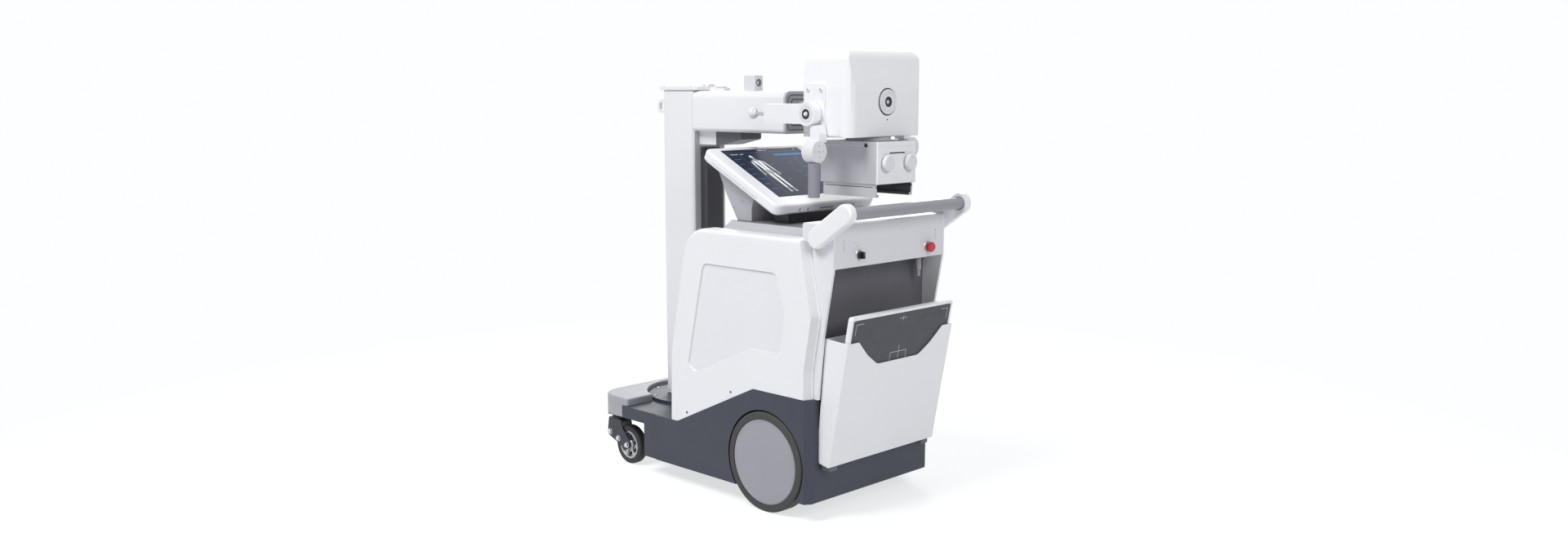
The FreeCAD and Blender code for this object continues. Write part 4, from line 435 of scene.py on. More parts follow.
class Paints:
    """The finishes of this machine."""

    WHITE = Lacquer("white_lacquer", "#EFEFF2", gloss=0.36, mottle=0.012, coat=0.05)
    WHITE_METAL = PowderCoat("white_powder_coat", "#EDEDF0", mottle=0.015)
    COLUMN_WHITE = PowderCoat("column_powder_coat", "#ECECEF", gloss=0.4, peel=650.0, mottle=0.02)
    FASCIA_GREY = PowderCoat("fascia_powder_coat", "#DDDDE1", mottle=0.02)
    # Painted shade: the console's white, greyed a little for the shade of the handle pods and panels round it.
    CONSOLE_SHADED_WHITE = Lacquer("console_painted_shade_lacquer", "#E4E4E8", gloss=0.4, mottle=0.015)
    # Painted shade on the side panels' window rims and rear chamfers.
    BEVEL_SHADE_WHITE = Lacquer("bevel_painted_shade_lacquer", "#DCDCE0", gloss=0.42, mottle=0.015)
    # Painted shade on the sunken fields of the side panels' windows.
    WINDOW_SHADE_WHITE = Lacquer("panel_window_painted_shade_lacquer", "#EAEAEE", gloss=0.42, mottle=0.012)
    # Painted shading on faces picked by where they lie; also the colour of the collimator knobs' pointer lines.
    PAINTED_SHADING_AND_POINTER_GREY = PowderCoat("painted_shading_and_pointer_grey_coat", "#BEBEC4", mottle=0.03)
    # Painted shade on the collimator's top, under the head.
    TOP_SHADE_GREY = Lacquer("collimator_top_painted_shade", "#8C8C92", gloss=0.5, mottle=0.04)
    # The stand's own light grey, darkened with painted shade; also its screws and the collimator's ring lines.
    STAND_GREY_WITH_SHADE = PowderCoat("stand_coat_with_painted_shade", "#B4B4BA", mottle=0.03)
    # Painted shade on the gusset under the arm.
    BRACKET_SHADE_GREY = PowderCoat("bracket_painted_shade_coat", "#5E5E64", gloss=0.45, mottle=0.05)
    SLATE = PowderCoat("slate_powder_coat", "#3A3D4A", gloss=0.5, peel=800.0, depth=0.0001, mottle=0.1)
    DARK_SLATE = PowderCoat("caster_fork_coat", "#30323D", gloss=0.45, peel=800.0, depth=0.0001, mottle=0.1)
    HOOD_GREY = GrainedPlastic("hood_grey_grain", "#AAAAB0", gloss=0.5)
    DECK_GREY = GrainedPlastic("deck_grey_grain", "#7A7A81", gloss=0.52)
    DISC_GREY = GrainedPlastic("hub_cap_grey", "#A0A0A7", gloss=0.48, grain=1100.0, wear=0.04)
    RECESS_GREY = GrainedPlastic("recess_grey_grain", "#64646A", gloss=0.6, wear=0.1)
    COVER_BLACK = GrainedPlastic("cable_cover_black", "#3E3E43", gloss=0.42, grain=1000.0)
    BLACK = GrainedPlastic("switch_black", "#17171A", gloss=0.35, grain=1400.0, depth=0.00006)
    GRIP = GrainedPlastic("grip_grey_grain", "#8E8E97", gloss=0.55, grain=1300.0, depth=0.00014)
    KNOB_WHITE = GrainedPlastic("knob_white_grain", "#E2E2E6", gloss=0.42, grain=1500.0, depth=0.00005, wear=0.03)
    BAR_GREY = PowderCoat("push_bar_coat", "#96969D", gloss=0.36, mottle=0.06)
    RAIL_GREY = Lacquer("rail_grey_coat", "#C4C4C9", gloss=0.4, mottle=0.04)
    STAGE_GREY = Lacquer("stage_grey_coat", "#B4B4BA", gloss=0.36, peel=700.0, mottle=0.05)
    SEAL_BLACK = GrainedPlastic("seal_black", "#26262A", gloss=0.6, grain=1600.0)
    DARK_STEEL = Metal("dark_steel", "#6E6E74", gloss=0.34)
    SEAM = GrainedPlastic("seam_grey", "#6A6A70", gloss=0.7)
    MARK_GREY = GrainedPlastic("mark_grey", "#9A9AA2", gloss=0.5)
    # Dark marks, and painted shade inside the accessory rails.
    MARK_AND_SHADE_DARK = GrainedPlastic("mark_and_painted_shade_dark", "#4A4A50", gloss=0.5)
    DETECTOR_FACE = GrainedPlastic("detector_carbon", "#46474D", gloss=0.5, grain=900.0, wear=0.12)
    DETECTOR_MARK = GrainedPlastic("detector_mark", "#D4D6DA", gloss=0.5)
    RED = Lacquer("stop_red", "#CC1C26", gloss=0.25, peel=1200.0, depth=0.00003, coat=0.4)
    TYRE = Rubber("tyre_rubber", "#29292C", bloom="#3E3E42")
    CASTER_TYRE = Rubber("caster_rubber", "#202022", bloom="#323235")
    STEEL = Metal("screw_steel", "#C9C9CE", gloss=0.24)
    RIM = Metal("caster_rim_cast", "#B4B4BA", gloss=0.34)
    MAST = Metal("mast_anodised", "#C6C6CC", gloss=0.34, stretch=(6.0, 6.0, 0.4))
    CAST = Lacquer("inner_casting", "#5B5B60", gloss=0.6, mottle=0.15)
    WINDOW = ClearPlate("light_window", "#DDE2E4")
    SCREEN = ScreenGlass("touch_screen", "#0A0C12")
    LIT_BLUE = LitMark("screen_blue", "#0A78B4", power=0.8)
    LIT_PALE = LitMark("screen_pale", "#C9CED6", power=0.75)
    LIT_DIM = LitMark("screen_dim", "#3C5F84", power=0.62)
    LIT_BODY = LitMark("screen_figure", "#8E9096", power=0.62)
    LIT_CORE = LitMark("screen_figure_core", "#D6D7DA", power=0.7)
    LIT_LINE = LitMark("screen_line", "#5B6172", power=0.6)
    LENS = Lacquer("lens_black", "#08080B", gloss=0.08, peel=400.0, depth=0.00001, mottle=0.0, coat=1.0)


class Form:
    """A piece in the making: a bmesh with this workshop's shapes."""

    def __init__(self) -> None:
        """Starts empty."""
        self.bm = bmesh.new()

    @staticmethod
    def turn_to(way: Vector) -> Matrix:
        """The turn that takes +Z to a direction."""
        return Vector((0, 0, 1)).rotation_difference(way.normalized()).to_matrix().to_4x4()

    def disc(self, centre: Vector, way: Vector, radius: float, thickness: float,
             steps: int) -> list[bmesh.types.BMVert]:
        """Adds a short round bar that starts at a point.

        Args:
            centre: The middle of its lower face.
            way: The direction it stands up in.
            radius: Its radius.
            thickness: Its height.
            steps: How many sides it has.

        Returns:
            The new vertices.
        """
        place = Matrix.Translation(centre) @ self.turn_to(way) @ Matrix.Translation((0, 0, thickness / 2))
        made = bmesh.ops.create_cone(self.bm, cap_ends=True, cap_tris=False, segments=steps, radius1=radius,
                                     radius2=radius, depth=thickness, matrix=place)
        return made["verts"]

    def lathe(self, profile: list[tuple[float, float]], centre: Vector, way: Vector, steps: int = 64) -> None:
        """Spins a (radius, height) line round an axis, closed to the axis or to its own start.

        Args:
            profile: Points of the line, from the axis, a bore or the foot's rim outwards and back.
            centre: The point that height 0 lies at.
            way: The axis.
            steps: How many steps a turn has.
        """
        line = list(profile)
        if line[0][0] > 0 and line[-1][0] > 0 and line[0] != line[-1]:
            line.append(line[0])
        elif line[0][0] > 0 and line[-1][0] == 0:
            line.insert(0, (0, line[0][1]))
        verts = [self.bm.verts.new((radius, 0, height)) for radius, height in line]
        edges = [self.bm.edges.new((a, b)) for a, b in zip(verts, verts[1:])]
        before = set(self.bm.verts) - set(verts)
        bmesh.ops.spin(self.bm, geom=verts + edges, cent=(0, 0, 0), axis=(0, 0, 1), dvec=(0, 0, 0),
                       angle=math.tau, steps=steps, use_merge=True, use_duplicate=False)
        new = [v for v in self.bm.verts if v not in before]
        bmesh.ops.remove_doubles(self.bm, verts=new, dist=1e-6)
        new = [v for v in self.bm.verts if v not in before]
        bmesh.ops.transform(self.bm, matrix=Matrix.Translation(centre) @ self.turn_to(way), verts=new)

    def slab(self, centre: Vector, size: Vector, turn: Matrix | None = None) -> None:
        """Adds a small box.

        Args:
            centre: Its middle.
            size: Its lengths along its own axes.
            turn: How it is turned about its middle.
        """
        made = bmesh.ops.create_cube(self.bm, size=1.0)
        bmesh.ops.scale(self.bm, vec=size, verts=made["verts"])
        place = Matrix.Translation(centre) @ (turn or Matrix.Identity(4))
        bmesh.ops.transform(self.bm, matrix=place, verts=made["verts"])

    def collar(self, centre: Vector, outer: tuple[float, float, float, float], rim: float, thick: float,
               turn: Matrix | None = None) -> None:
        """Adds a flat frame with rounded corners, for a bar to pass through.

        Args:
            centre: Its middle.
            outer: Half its width, half its height and the rounding of its upper and lower corners.
            rim: The frame's width.
            thick: Its thickness.
            turn: How it is turned about its middle.
        """
        known = set(self.bm.verts)
        half_wide, half_high, upper, lower = outer
        corners = bmesh.ops.create_grid(self.bm, x_segments=1, y_segments=1, size=1.0)["verts"]
        bmesh.ops.scale(self.bm, vec=Vector((half_wide, half_high, 1.0)), verts=corners)
        high = [v for v in corners if v.co.y > 0]
        low = [v for v in corners if v.co.y < 0]
        for verts, corner in ((high, upper), (low, lower)):
            bmesh.ops.bevel(self.bm, geom=verts, offset=corner, offset_type="OFFSET", segments=6, profile=0.5,
                            affect="VERTICES", clamp_overlap=True, material=-1)
        flat = list({f for v in self.bm.verts if v not in known for f in v.link_faces})
        ring = bmesh.ops.inset_region(self.bm, faces=flat, thickness=rim, use_boundary=True,
                                       use_even_offset=True)["faces"]
        bmesh.ops.delete(self.bm, geom=flat, context="FACES_ONLY")
        made = bmesh.ops.extrude_face_region(self.bm, geom=ring)
        lifted = [item for item in made["geom"] if isinstance(item, bmesh.types.BMVert)]
        bmesh.ops.translate(self.bm, vec=Vector((0, 0, thick)), verts=lifted)
        new = [v for v in self.bm.verts if v not in known]
        place = Matrix.Translation(centre) @ (turn or Matrix.Identity(4)) @ Matrix.Translation((0, 0, -thick / 2))
        bmesh.ops.transform(self.bm, matrix=place, verts=new)

    def sheet(self, outline: list[Vector], rise: Vector) -> None:
        """Adds a flat plate from its outline.

        Args:
            outline: The corners, in order.
            rise: The way and the height that the plate stands up.
        """
        face = self.bm.faces.new([self.bm.verts.new(point) for point in outline])
        made = bmesh.ops.extrude_face_region(self.bm, geom=[face])
        lifted = [item for item in made["geom"] if isinstance(item, bmesh.types.BMVert)]
        bmesh.ops.translate(self.bm, vec=rise, verts=lifted)

    def cut(self, point: Vector, normal: Vector, clear: bool = False) -> None:
        """Cuts every face along a plane.

        Args:
            point: A point of the plane.
            normal: The plane's normal.
            clear: Whether what lies beyond the plane goes, and the cut is closed.
        """
        everything = list(self.bm.verts) + list(self.bm.edges) + list(self.bm.faces)
        bmesh.ops.bisect_plane(self.bm, geom=everything, dist=1e-6, plane_co=point, plane_no=normal,
                               clear_outer=clear)
        if clear:
            bmesh.ops.holes_fill(self.bm, edges=[e for e in self.bm.edges if e.is_boundary], sides=0)

    def tidy(self) -> None:
        """Merges doubles and turns every face outwards."""
        bmesh.ops.remove_doubles(self.bm, verts=self.bm.verts, dist=1e-6)
        bmesh.ops.recalc_face_normals(self.bm, faces=self.bm.faces)


class Bench:
    """Where pieces are finished: named, dressed, smoothed and put on their bodies."""

    smooth_angle = math.radians(32)

    def place(self, form: Form, name: str, body: str, finish: Finish, slot: str) -> None:
        """Turns a form of this workshop into a piece that rides on a body.

        Args:
            form: The form.
            name: The piece's name.
            body: The body that carries it.
            finish: Its finish.
            slot: The record's material slot that the finish stands for; it is not used.
        """
        form.tidy()
        self.mount(form, name, body, finish)

    def mount(self, form: Form, name: str, body: str, finish: Finish) -> bpy.types.Object:
        """Makes a form an object, shades it and puts it on its body.

        Args:
            form: The form, which is used up.
            name: The object's name.
            body: The body that carries it.
            finish: Its finish.

        Returns:
            The object.
        """
        mesh = bpy.data.meshes.new(name)
        form.bm.to_mesh(mesh)
        form.bm.free()
        mesh.materials.append(finish.material())
        piece = bpy.data.objects.new(name, mesh)
        bpy.context.scene.collection.objects.link(piece)
        self.smooth(mesh)
        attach(piece, body)
        log.info("piece %s on %s: %d faces", name, body, len(mesh.polygons))
        return piece

    def smooth(self, mesh: bpy.types.Mesh) -> None:
        """Shades a mesh smooth but for its hard edges, and keeps its broad faces flat.

        Args:
            mesh: The mesh, which gets its corners' normals from the faces round them, broad faces first.
        """
        around: list[list[tuple[Vector, float]]] = [[] for _ in mesh.vertices]
        for polygon in mesh.polygons:
            polygon.use_smooth = True
            share = (polygon.normal.copy(), polygon.area)
            for index in polygon.vertices:
                around[index].append(share)
        mesh.set_sharp_from_angle(angle=self.smooth_angle)
        limit = math.cos(self.smooth_angle)
        normals = []
        for polygon in mesh.polygons:
            way = polygon.normal.copy()
            for index in polygon.vertices:
                total = Vector((0, 0, 0))
                for normal, area in around[index]:
                    if normal.dot(way) > limit:
                        total += normal * area
                normals.append(total.normalized() if total.length > 0 else way)
        mesh.normals_split_custom_set(normals)

    def dress(self, node: str, finish: Finish) -> None:
        """Gives a solid of the frame a finish.

        Args:
            node: The solid's name.
            finish: Its finish.
        """
        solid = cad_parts[node]
        solid.data.materials.clear()
        solid.data.materials.append(finish.material())
        log.info("dressed %s with %s", node, finish.name)

    def soften(self, node: str, finish: Finish, width: float, body: str,
               angle: float = 38.0) -> bpy.types.Object:
        """Stands a copy with rounded edges in for a solid of the frame.

        Args:
            node: The solid's name.
            finish: Its finish.
            width: How wide the rounding of its edges is.
            body: The body that carries it.
            angle: The sharpness in degrees from which an edge is rounded.

        Returns:
            The copy.
        """
        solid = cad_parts[node]
        form = Form()
        form.bm.from_mesh(solid.data)
        bm = form.bm
        bmesh.ops.remove_doubles(bm, verts=bm.verts, dist=2e-6)
        bmesh.ops.dissolve_limit(bm, angle_limit=math.radians(0.4), verts=bm.verts, edges=bm.edges,
                                 use_dissolve_boundaries=False, delimit=set())
        sharp = [e for e in bm.edges if len(e.link_faces) == 2
                 and math.degrees(e.calc_face_angle(0.0)) > angle]
        bmesh.ops.bevel(bm, geom=sharp, offset=width, offset_type="OFFSET", segments=2, profile=0.5,
                        affect="EDGES", clamp_overlap=True, material=-1)
        piece = self.mount(form, node + "_finished", body, finish)
        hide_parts(node)
        return piece

    def paint(self, piece: bpy.types.Object, finish: Finish, low: Vector, high: Vector) -> None:
        """Gives the faces of a piece that lie in a box a finish of their own.

        Args:
            piece: The piece.
            finish: The finish of those faces.
            low: The box's lowest corner.
            high: The box's highest corner.
        """
        mesh = piece.data
        mesh.materials.append(finish.material())
        last = len(mesh.materials) - 1
        for polygon in mesh.polygons:
            if all(low[i] <= polygon.center[i] <= high[i] for i in range(3)):
                polygon.material_index = last

    def paint_sides(self, piece: bpy.types.Object, finish: Finish, low: Vector, high: Vector) -> None:
        """Paints a box on the right side of the middle, and its mirror image.

        Args:
            piece: The piece.
            finish: The finish of the faces in both boxes.
            low: The right box's lowest corner.
            high: The right box's highest corner.
        """
        self.paint(piece, finish, Vector((-high.x, low.y, low.z)), Vector((-low.x, high.y, high.z)))
        self.paint(piece, finish, low, high)

    def split(self, piece: bpy.types.Object, point: Vector, normal: Vector, low: Vector, high: Vector) -> None:
        """Cuts the faces of a piece that lie in a box along a plane, so that each part can be painted.

        Args:
            piece: The piece.
            point: A point of the plane.
            normal: The plane's normal.
            low: The box's lowest corner.
            high: The box's highest corner.
        """
        mesh = piece.data
        bm = bmesh.new()
        bm.from_mesh(mesh)
        faces = [f for f in bm.faces if all(low[i] <= f.calc_center_median()[i] <= high[i] for i in range(3))]
        edges = list({e for f in faces for e in f.edges})
        verts = list({v for f in faces for v in f.verts})
        bmesh.ops.bisect_plane(bm, geom=verts + edges + faces, dist=1e-6, plane_co=point, plane_no=normal)
        bm.to_mesh(mesh)
        bm.free()
        self.smooth(mesh)

    def screws(self, name: str, body: str, places: list[Vector], way: Vector, radius: float, rise: float,
               finish: Finish = Paints.STEEL) -> None:
        """Adds dome screws with a sunken round socket.

        Args:
            name: The piece's name.
            body: The body that carries them.
            places: Where their heads sit on the face.
            way: The direction the face looks in.
            radius: The heads' radius.
            rise: The heads' height.
            finish: Their finish.
        """
        form = Form()
        socket = radius * 0.42
        for place in places:
            form.lathe([(radius, -0.0002), (radius, rise * 0.35), (radius * 0.86, rise * 0.75),
                        (radius * 0.6, rise), (socket, rise), (socket * 0.9, rise * 0.3), (0, rise * 0.3)],
                       place, way, 24)
        self.place(form, name, body, finish, "steel")


BENCH = Bench()


@dataclass
class Studio:
    """The floor, the lamps and the camera.

    Attributes:
        eye: Where the camera stands.
        heading: How far the view turns from +Y towards +X, in degrees.
        drop: How far the view looks down, in degrees.
        lens: The focal length on a 36 mm wide sensor, in millimetres.
        lift: How much the floor round the machine glows for the camera.
        fade: Where the floor starts to fade to white, where it ends, and its share at the start.
    """

    eye: Vector = field(default_factory=lambda: Vector((-2.87685, -2.87971, 1.24619)))
    heading: float = 45.448
    drop: float = 8.413
    lens: float = 29.53
    lift: float = 0.42
    fade: tuple[float, float, float] = (0.9, 3.2, 0.45)

    def camera(self) -> None:
        """Sets up the photograph's camera."""
        data = bpy.data.cameras.new("camera")
        data.sensor_fit = "HORIZONTAL"
        data.sensor_width = 36.0
        data.lens = self.lens
        data.clip_end = 100.0
        camera = bpy.data.objects.new("camera", data)
        camera.location = self.eye
        camera.rotation_euler = (math.radians(90 - self.drop), 0, -math.radians(self.heading))
        bpy.context.scene.collection.objects.link(camera)
        bpy.context.scene.camera = camera

    @staticmethod
    def reckon(tree: bpy.types.NodeTree, work: str, first: bpy.types.NodeSocket,
               second: bpy.types.NodeSocket | float) -> bpy.types.NodeSocket:
        """Adds a node that reckons with two values.

        Args:
            tree: The node tree.
            work: What it does with them, as Blender names it.
            first: The first value.
            second: The second value, or a number.

        Returns:
            The result.
        """
        node = tree.nodes.new("ShaderNodeMath")
        node.operation = work
        tree.links.new(first, node.inputs[0])
        if isinstance(second, float):
            node.inputs[1].default_value = second
        else:
            tree.links.new(second, node.inputs[1])
        return node.outputs[0]

    def seen_rays(self, tree: bpy.types.NodeTree) -> bpy.types.NodeSocket:
        """Tells the rays that show the background from those that only light the machine.

        Args:
            tree: The node tree that asks.

        Returns:
            1 for camera, glossy and transmission rays, 0 for all others.
        """
        rays = tree.nodes.new("ShaderNodeLightPath")
        value = rays.outputs["Is Camera Ray"]
        for name in ("Is Glossy Ray", "Is Transmission Ray"):
            value = self.reckon(tree, "MAXIMUM", value, rays.outputs[name])
        return value

    def floor(self) -> None:
        """Lays a pale floor that keeps the machine's shadow."""
        form = Form()
        bmesh.ops.create_grid(form.bm, x_segments=4, y_segments=4, size=30.0)
        mesh = bpy.data.meshes.new("floor")
        form.bm.to_mesh(mesh)
        form.bm.free()
        floor = bpy.data.objects.new("floor", mesh)
        bpy.context.scene.collection.objects.link(floor)
        made = bpy.data.materials.new("floor_pale")
        made.use_nodes = True
        tree = made.node_tree
        shader = tree.nodes["Principled BSDF"]
        shader.inputs["Roughness"].default_value = 0.9
        shader.inputs["Specular IOR Level"].default_value = 0.1
        shader.inputs["Base Color"].default_value = tint("#E9EBED")
        glow = tree.nodes.new("ShaderNodeEmission")
        glow.inputs["Color"].default_value = tint("#FFFFFF")
        seen = self.seen_rays(tree)
        tree.links.new(self.reckon(tree, "MULTIPLY", seen, self.lift), glow.inputs["Strength"])
        near = tree.nodes.new("ShaderNodeAddShader")
        tree.links.new(shader.outputs["BSDF"], near.inputs[0])
        tree.links.new(glow.outputs["Emission"], near.inputs[1])
        place = tree.nodes.new("ShaderNodeTexCoord")
        reach = tree.nodes.new("ShaderNodeVectorMath")
        reach.operation = "LENGTH"
        tree.links.new(place.outputs["Object"], reach.inputs[0])
        fade = tree.nodes.new("ShaderNodeMapRange")
        fade.interpolation_type = "SMOOTHSTEP"
        for name, setting in (("From Min", self.fade[0]), ("From Max", self.fade[1]), ("To Min", self.fade[2])):
            fade.inputs[name].default_value = setting
        tree.links.new(reach.outputs["Value"], fade.inputs["Value"])
        share = self.reckon(tree, "MULTIPLY", fade.outputs["Result"], seen)
        white = tree.nodes.new("ShaderNodeEmission")
        white.inputs["Color"].default_value = tint("#FDFEFF")
        mix = tree.nodes.new("ShaderNodeMixShader")
        tree.links.new(share, mix.inputs["Fac"])
        tree.links.new(near.outputs["Shader"], mix.inputs[1])
        tree.links.new(white.outputs["Emission"], mix.inputs[2])
        tree.links.new(mix.outputs["Shader"], tree.nodes["Material Output"].inputs["Surface"])
        mesh.materials.append(made)

    def sky(self) -> None:
        """Sets a soft even light all round, white to the camera."""
        world = bpy.data.worlds.new("soft_room")
        bpy.context.scene.world = world
        world.use_nodes = True
        tree = world.node_tree
        tree.nodes.clear()
        output = tree.nodes.new("ShaderNodeOutputWorld")
        light = tree.nodes.new("ShaderNodeBackground")
        light.inputs["Color"].default_value = (0.95, 0.965, 1.0, 1.0)
        light.inputs["Strength"].default_value = 0.23
        seen = tree.nodes.new("ShaderNodeBackground")
        seen.inputs["Color"].default_value = tint("#FDFEFF")
        seen.inputs["Strength"].default_value = 1.0
        mix = tree.nodes.new("ShaderNodeMixShader")
        tree.links.new(self.seen_rays(tree), mix.inputs["Fac"])
        tree.links.new(light.outputs["Background"], mix.inputs[1])
        tree.links.new(seen.outputs["Background"], mix.inputs[2])
        tree.links.new(mix.outputs["Shader"], output.inputs["Surface"])

    def lamp(self, name: str, place: Vector, target: Vector, size: float, power: float) -> None:
        """Hangs a square soft lamp.

        Args:
            name: The lamp's name.
            place: Where it hangs.
            target: What it faces.
            size: Its edge length.
            power: Its power in watts.
        """
        data = bpy.data.lights.new(name, "AREA")
        data.shape = "SQUARE"
        data.size = size
        data.energy = power
        lamp = bpy.data.objects.new(name, data)
        lamp.location = place
        lamp.rotation_euler = (target - place).to_track_quat("-Z", "Y").to_euler()
        bpy.context.scene.collection.objects.link(lamp)

    def build(self) -> None:
        """Sets the whole studio up."""
        scene = bpy.context.scene
        scene.view_settings.view_transform = "Standard"
        self.camera()
        self.floor()
        self.sky()
        middle = Vector((0, 0, 0.75))
        self.lamp("key_lamp", Vector((-4.2, 0.28, 5.9)), middle, 2.8, 328.0)
        self.lamp("fill_lamp", Vector((-0.6, -4.4, 2.9)), middle, 2.2, 78.0)
        self.lamp("back_lamp", Vector((3.4, 3.0, 2.6)), middle, 2.4, 105.0)
        log.info("studio ready")


@dataclass
class LowerBody:
    """The dark housing, its bumper hood and the turntable.

    Attributes:
        edge: The rounding of the housing's edges.
        screw_circle: The radius that the turntable's screws stand on.
        screw_count: How many there are.
        column_y: Where the column stands.
    """

    edge: float = 1.6 * MM
    screw_circle: float = 0.150
    screw_count: int = 8
    column_y: float = 0.373

    def build(self) -> None:
        """Dresses the housing and adds the turntable's screws."""
        BENCH.soften("chassis_base", Paints.SLATE, self.edge, "chassis")
        BENCH.soften("bumper", Paints.HOOD_GREY, 1.0 * MM, "chassis")
        BENCH.dress("turntable_ring", Paints.SLATE)
        BENCH.dress("wheel_mounts", Paints.CAST)
        BENCH.dress("power_units", Paints.CAST)
        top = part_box("turntable_ring")[1].z
        places = []
        for index in range(self.screw_count):
            angle = math.tau * (index + 0.5) / self.screw_count
            x = self.screw_circle * math.cos(angle)
            y = self.column_y + self.screw_circle * math.sin(angle)
            places.append(Vector((x, y, top)))
        BENCH.screws("turntable_screws", "chassis", places, Way.UP.value, 5 * MM, 3.5 * MM)


@dataclass
class DriveWheel:
    """One of the two big wheels.

    Attributes:
        side: Which one.
        y: Where its axle stands.
        z: How high its axle stands.
    """

    side: Side
    y: float = -0.243
    z: float = 0.152

    def build(self) -> None:
        """Dresses the tyre and the disc and adds the ring between them."""
        word = self.side.word
        BENCH.dress("drive_tyre_" + word, Paints.TYRE)
        BENCH.dress("drive_hub_" + word, Paints.DISC_GREY)
        reach = max(abs(corner.x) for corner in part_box("drive_hub_" + word))
        form = Form()
        form.lathe([(0.1225, -0.0002), (0.1225, 0.0004), (0.1240, 0.0009), (0.1258, 0.0004), (0.1258, -0.0002)],
                   self.side.spot(reach, self.y, self.z), self.side.way, 128)
        BENCH.place(form, "drive_disc_lip_" + word, "drive_" + word, Paints.DISC_GREY, "grey_disc")


@dataclass
class Caster:
    """One of the two swivel casters.

    Attributes:
        side: Which one.
        track: How far the wheel's middle plane stands from the machine's.
        pivot: Where the swivel's axis stands along Y.
        race: The height of the swivel race's foot.
        cheek: How far the outside of a cheek stands from the wheel's middle plane.
        nuts: The side view places of the nuts, from the axle forwards.
        nut_radius: The radius of a nut's foot.
    """

    side: Side
    track: float = 0.235
    pivot: float = 0.5
    race: float = 0.1461
    cheek: float = 0.022
    nuts: tuple[tuple[float, float], ...] = ((0.440, 0.065), (0.484, 0.0805), (0.528, 0.096))
    nut_radius: float = 8.2 * MM

    def build(self) -> None:
        """Dresses the caster and puts the domes on its nuts."""
        word = self.side.word
        BENCH.soften("caster_fork_" + word, Paints.DARK_SLATE, 0.6 * MM, "caster_" + word)
        BENCH.dress("caster_rim_" + word, Paints.RIM)
        BENCH.dress("caster_tyre_" + word, Paints.CASTER_TYRE)
        form = Form()
        radius = self.nut_radius
        for sign in (-1, 1):
            for y, z in self.nuts:
                face = self.side.spot(self.track, y, z) + Vector((sign * self.cheek, 0, 0))
                form.lathe([(radius * 1.25, -0.0002), (radius * 1.25, 0.0012), (radius * 1.1, 0.0018),
                            (radius, 0.0019), (radius, 0.0052), (radius * 0.84, 0.0078), (radius * 0.5, 0.0096),
                            (0, 0.0102)], face, Vector((sign, 0, 0)), 32)
        BENCH.place(form, "caster_nuts_" + word, "caster_" + word, Paints.STEEL, "steel")
        form = Form()
        seat = self.side.spot(self.track, self.pivot, self.race)
        form.lathe([(0.0245, 0), (0.0265, 0.002), (0.0265, 0.0075), (0.0245, 0.0095), (0.0212, 0.0095),
                    (0.0212, 0), (0.0245, 0)], seat, Way.UP.value, 48)
        BENCH.place(form, "caster_race_" + word, "caster_" + word, Paints.SEAL_BLACK, "steel")


@dataclass
class Cabinet:
    """The white upper body with its grey deck.

    Attributes:
        screw_places: The side view places of the small screws at the foot of each panel.
        flank: How far the panels' faces stand from the middle.
        window: How far their sunken windows stand from the middle.
    """

    screw_places: tuple[tuple[float, float], ...] = ((0.104, 0.242), (-0.098, 0.341))
    flank: float = 0.2815
    window: float = 0.2766

    def build(self) -> None:
        """Dresses the panels with painted shade on their windows and rear chamfers, adds their screws and paints
        shading on the deck's sides.
        """
        panels = BENCH.soften("side_panels", Paints.WHITE, 1.2 * MM, "chassis")
        # Painted shade: the windows' sloping rims get a darker white, and their sunken fields a lighter painted
        # shade.
        for deep, paint in ((self.flank - 0.0001, Paints.BEVEL_SHADE_WHITE), (self.window, Paints.WINDOW_SHADE_WHITE)):
            BENCH.paint(panels, paint, Vector((-deep, -0.345, 0.385)), Vector((deep, 0.105, 0.735)))
        # Painted shade on the panels' rear chamfers.
        BENCH.paint_sides(panels, Paints.BEVEL_SHADE_WHITE, Vector((0.255, -0.46, 0.2)), Vector((0.282, -0.365, 0.81)))
        BENCH.dress("front_cover", Paints.WHITE)
        deck = BENCH.soften("top_deck", Paints.DECK_GREY, 2.0 * MM, "chassis")
        # Painted shading: the deck's sides take a paler grey than the deck's own.
        BENCH.paint_sides(deck, Paints.PAINTED_SHADING_AND_POINTER_GREY, Vector((0.2, -0.4, 0.8)), Vector((0.216, 0.1, 0.848)))
        for side in Side:
            places = [side.spot(self.flank, y, z) for y, z in self.screw_places]
            BENCH.screws("panel_screws_" + side.word, "chassis", places, side.way, 4.0 * MM, 1.6 * MM,
                         Paints.DARK_STEEL)


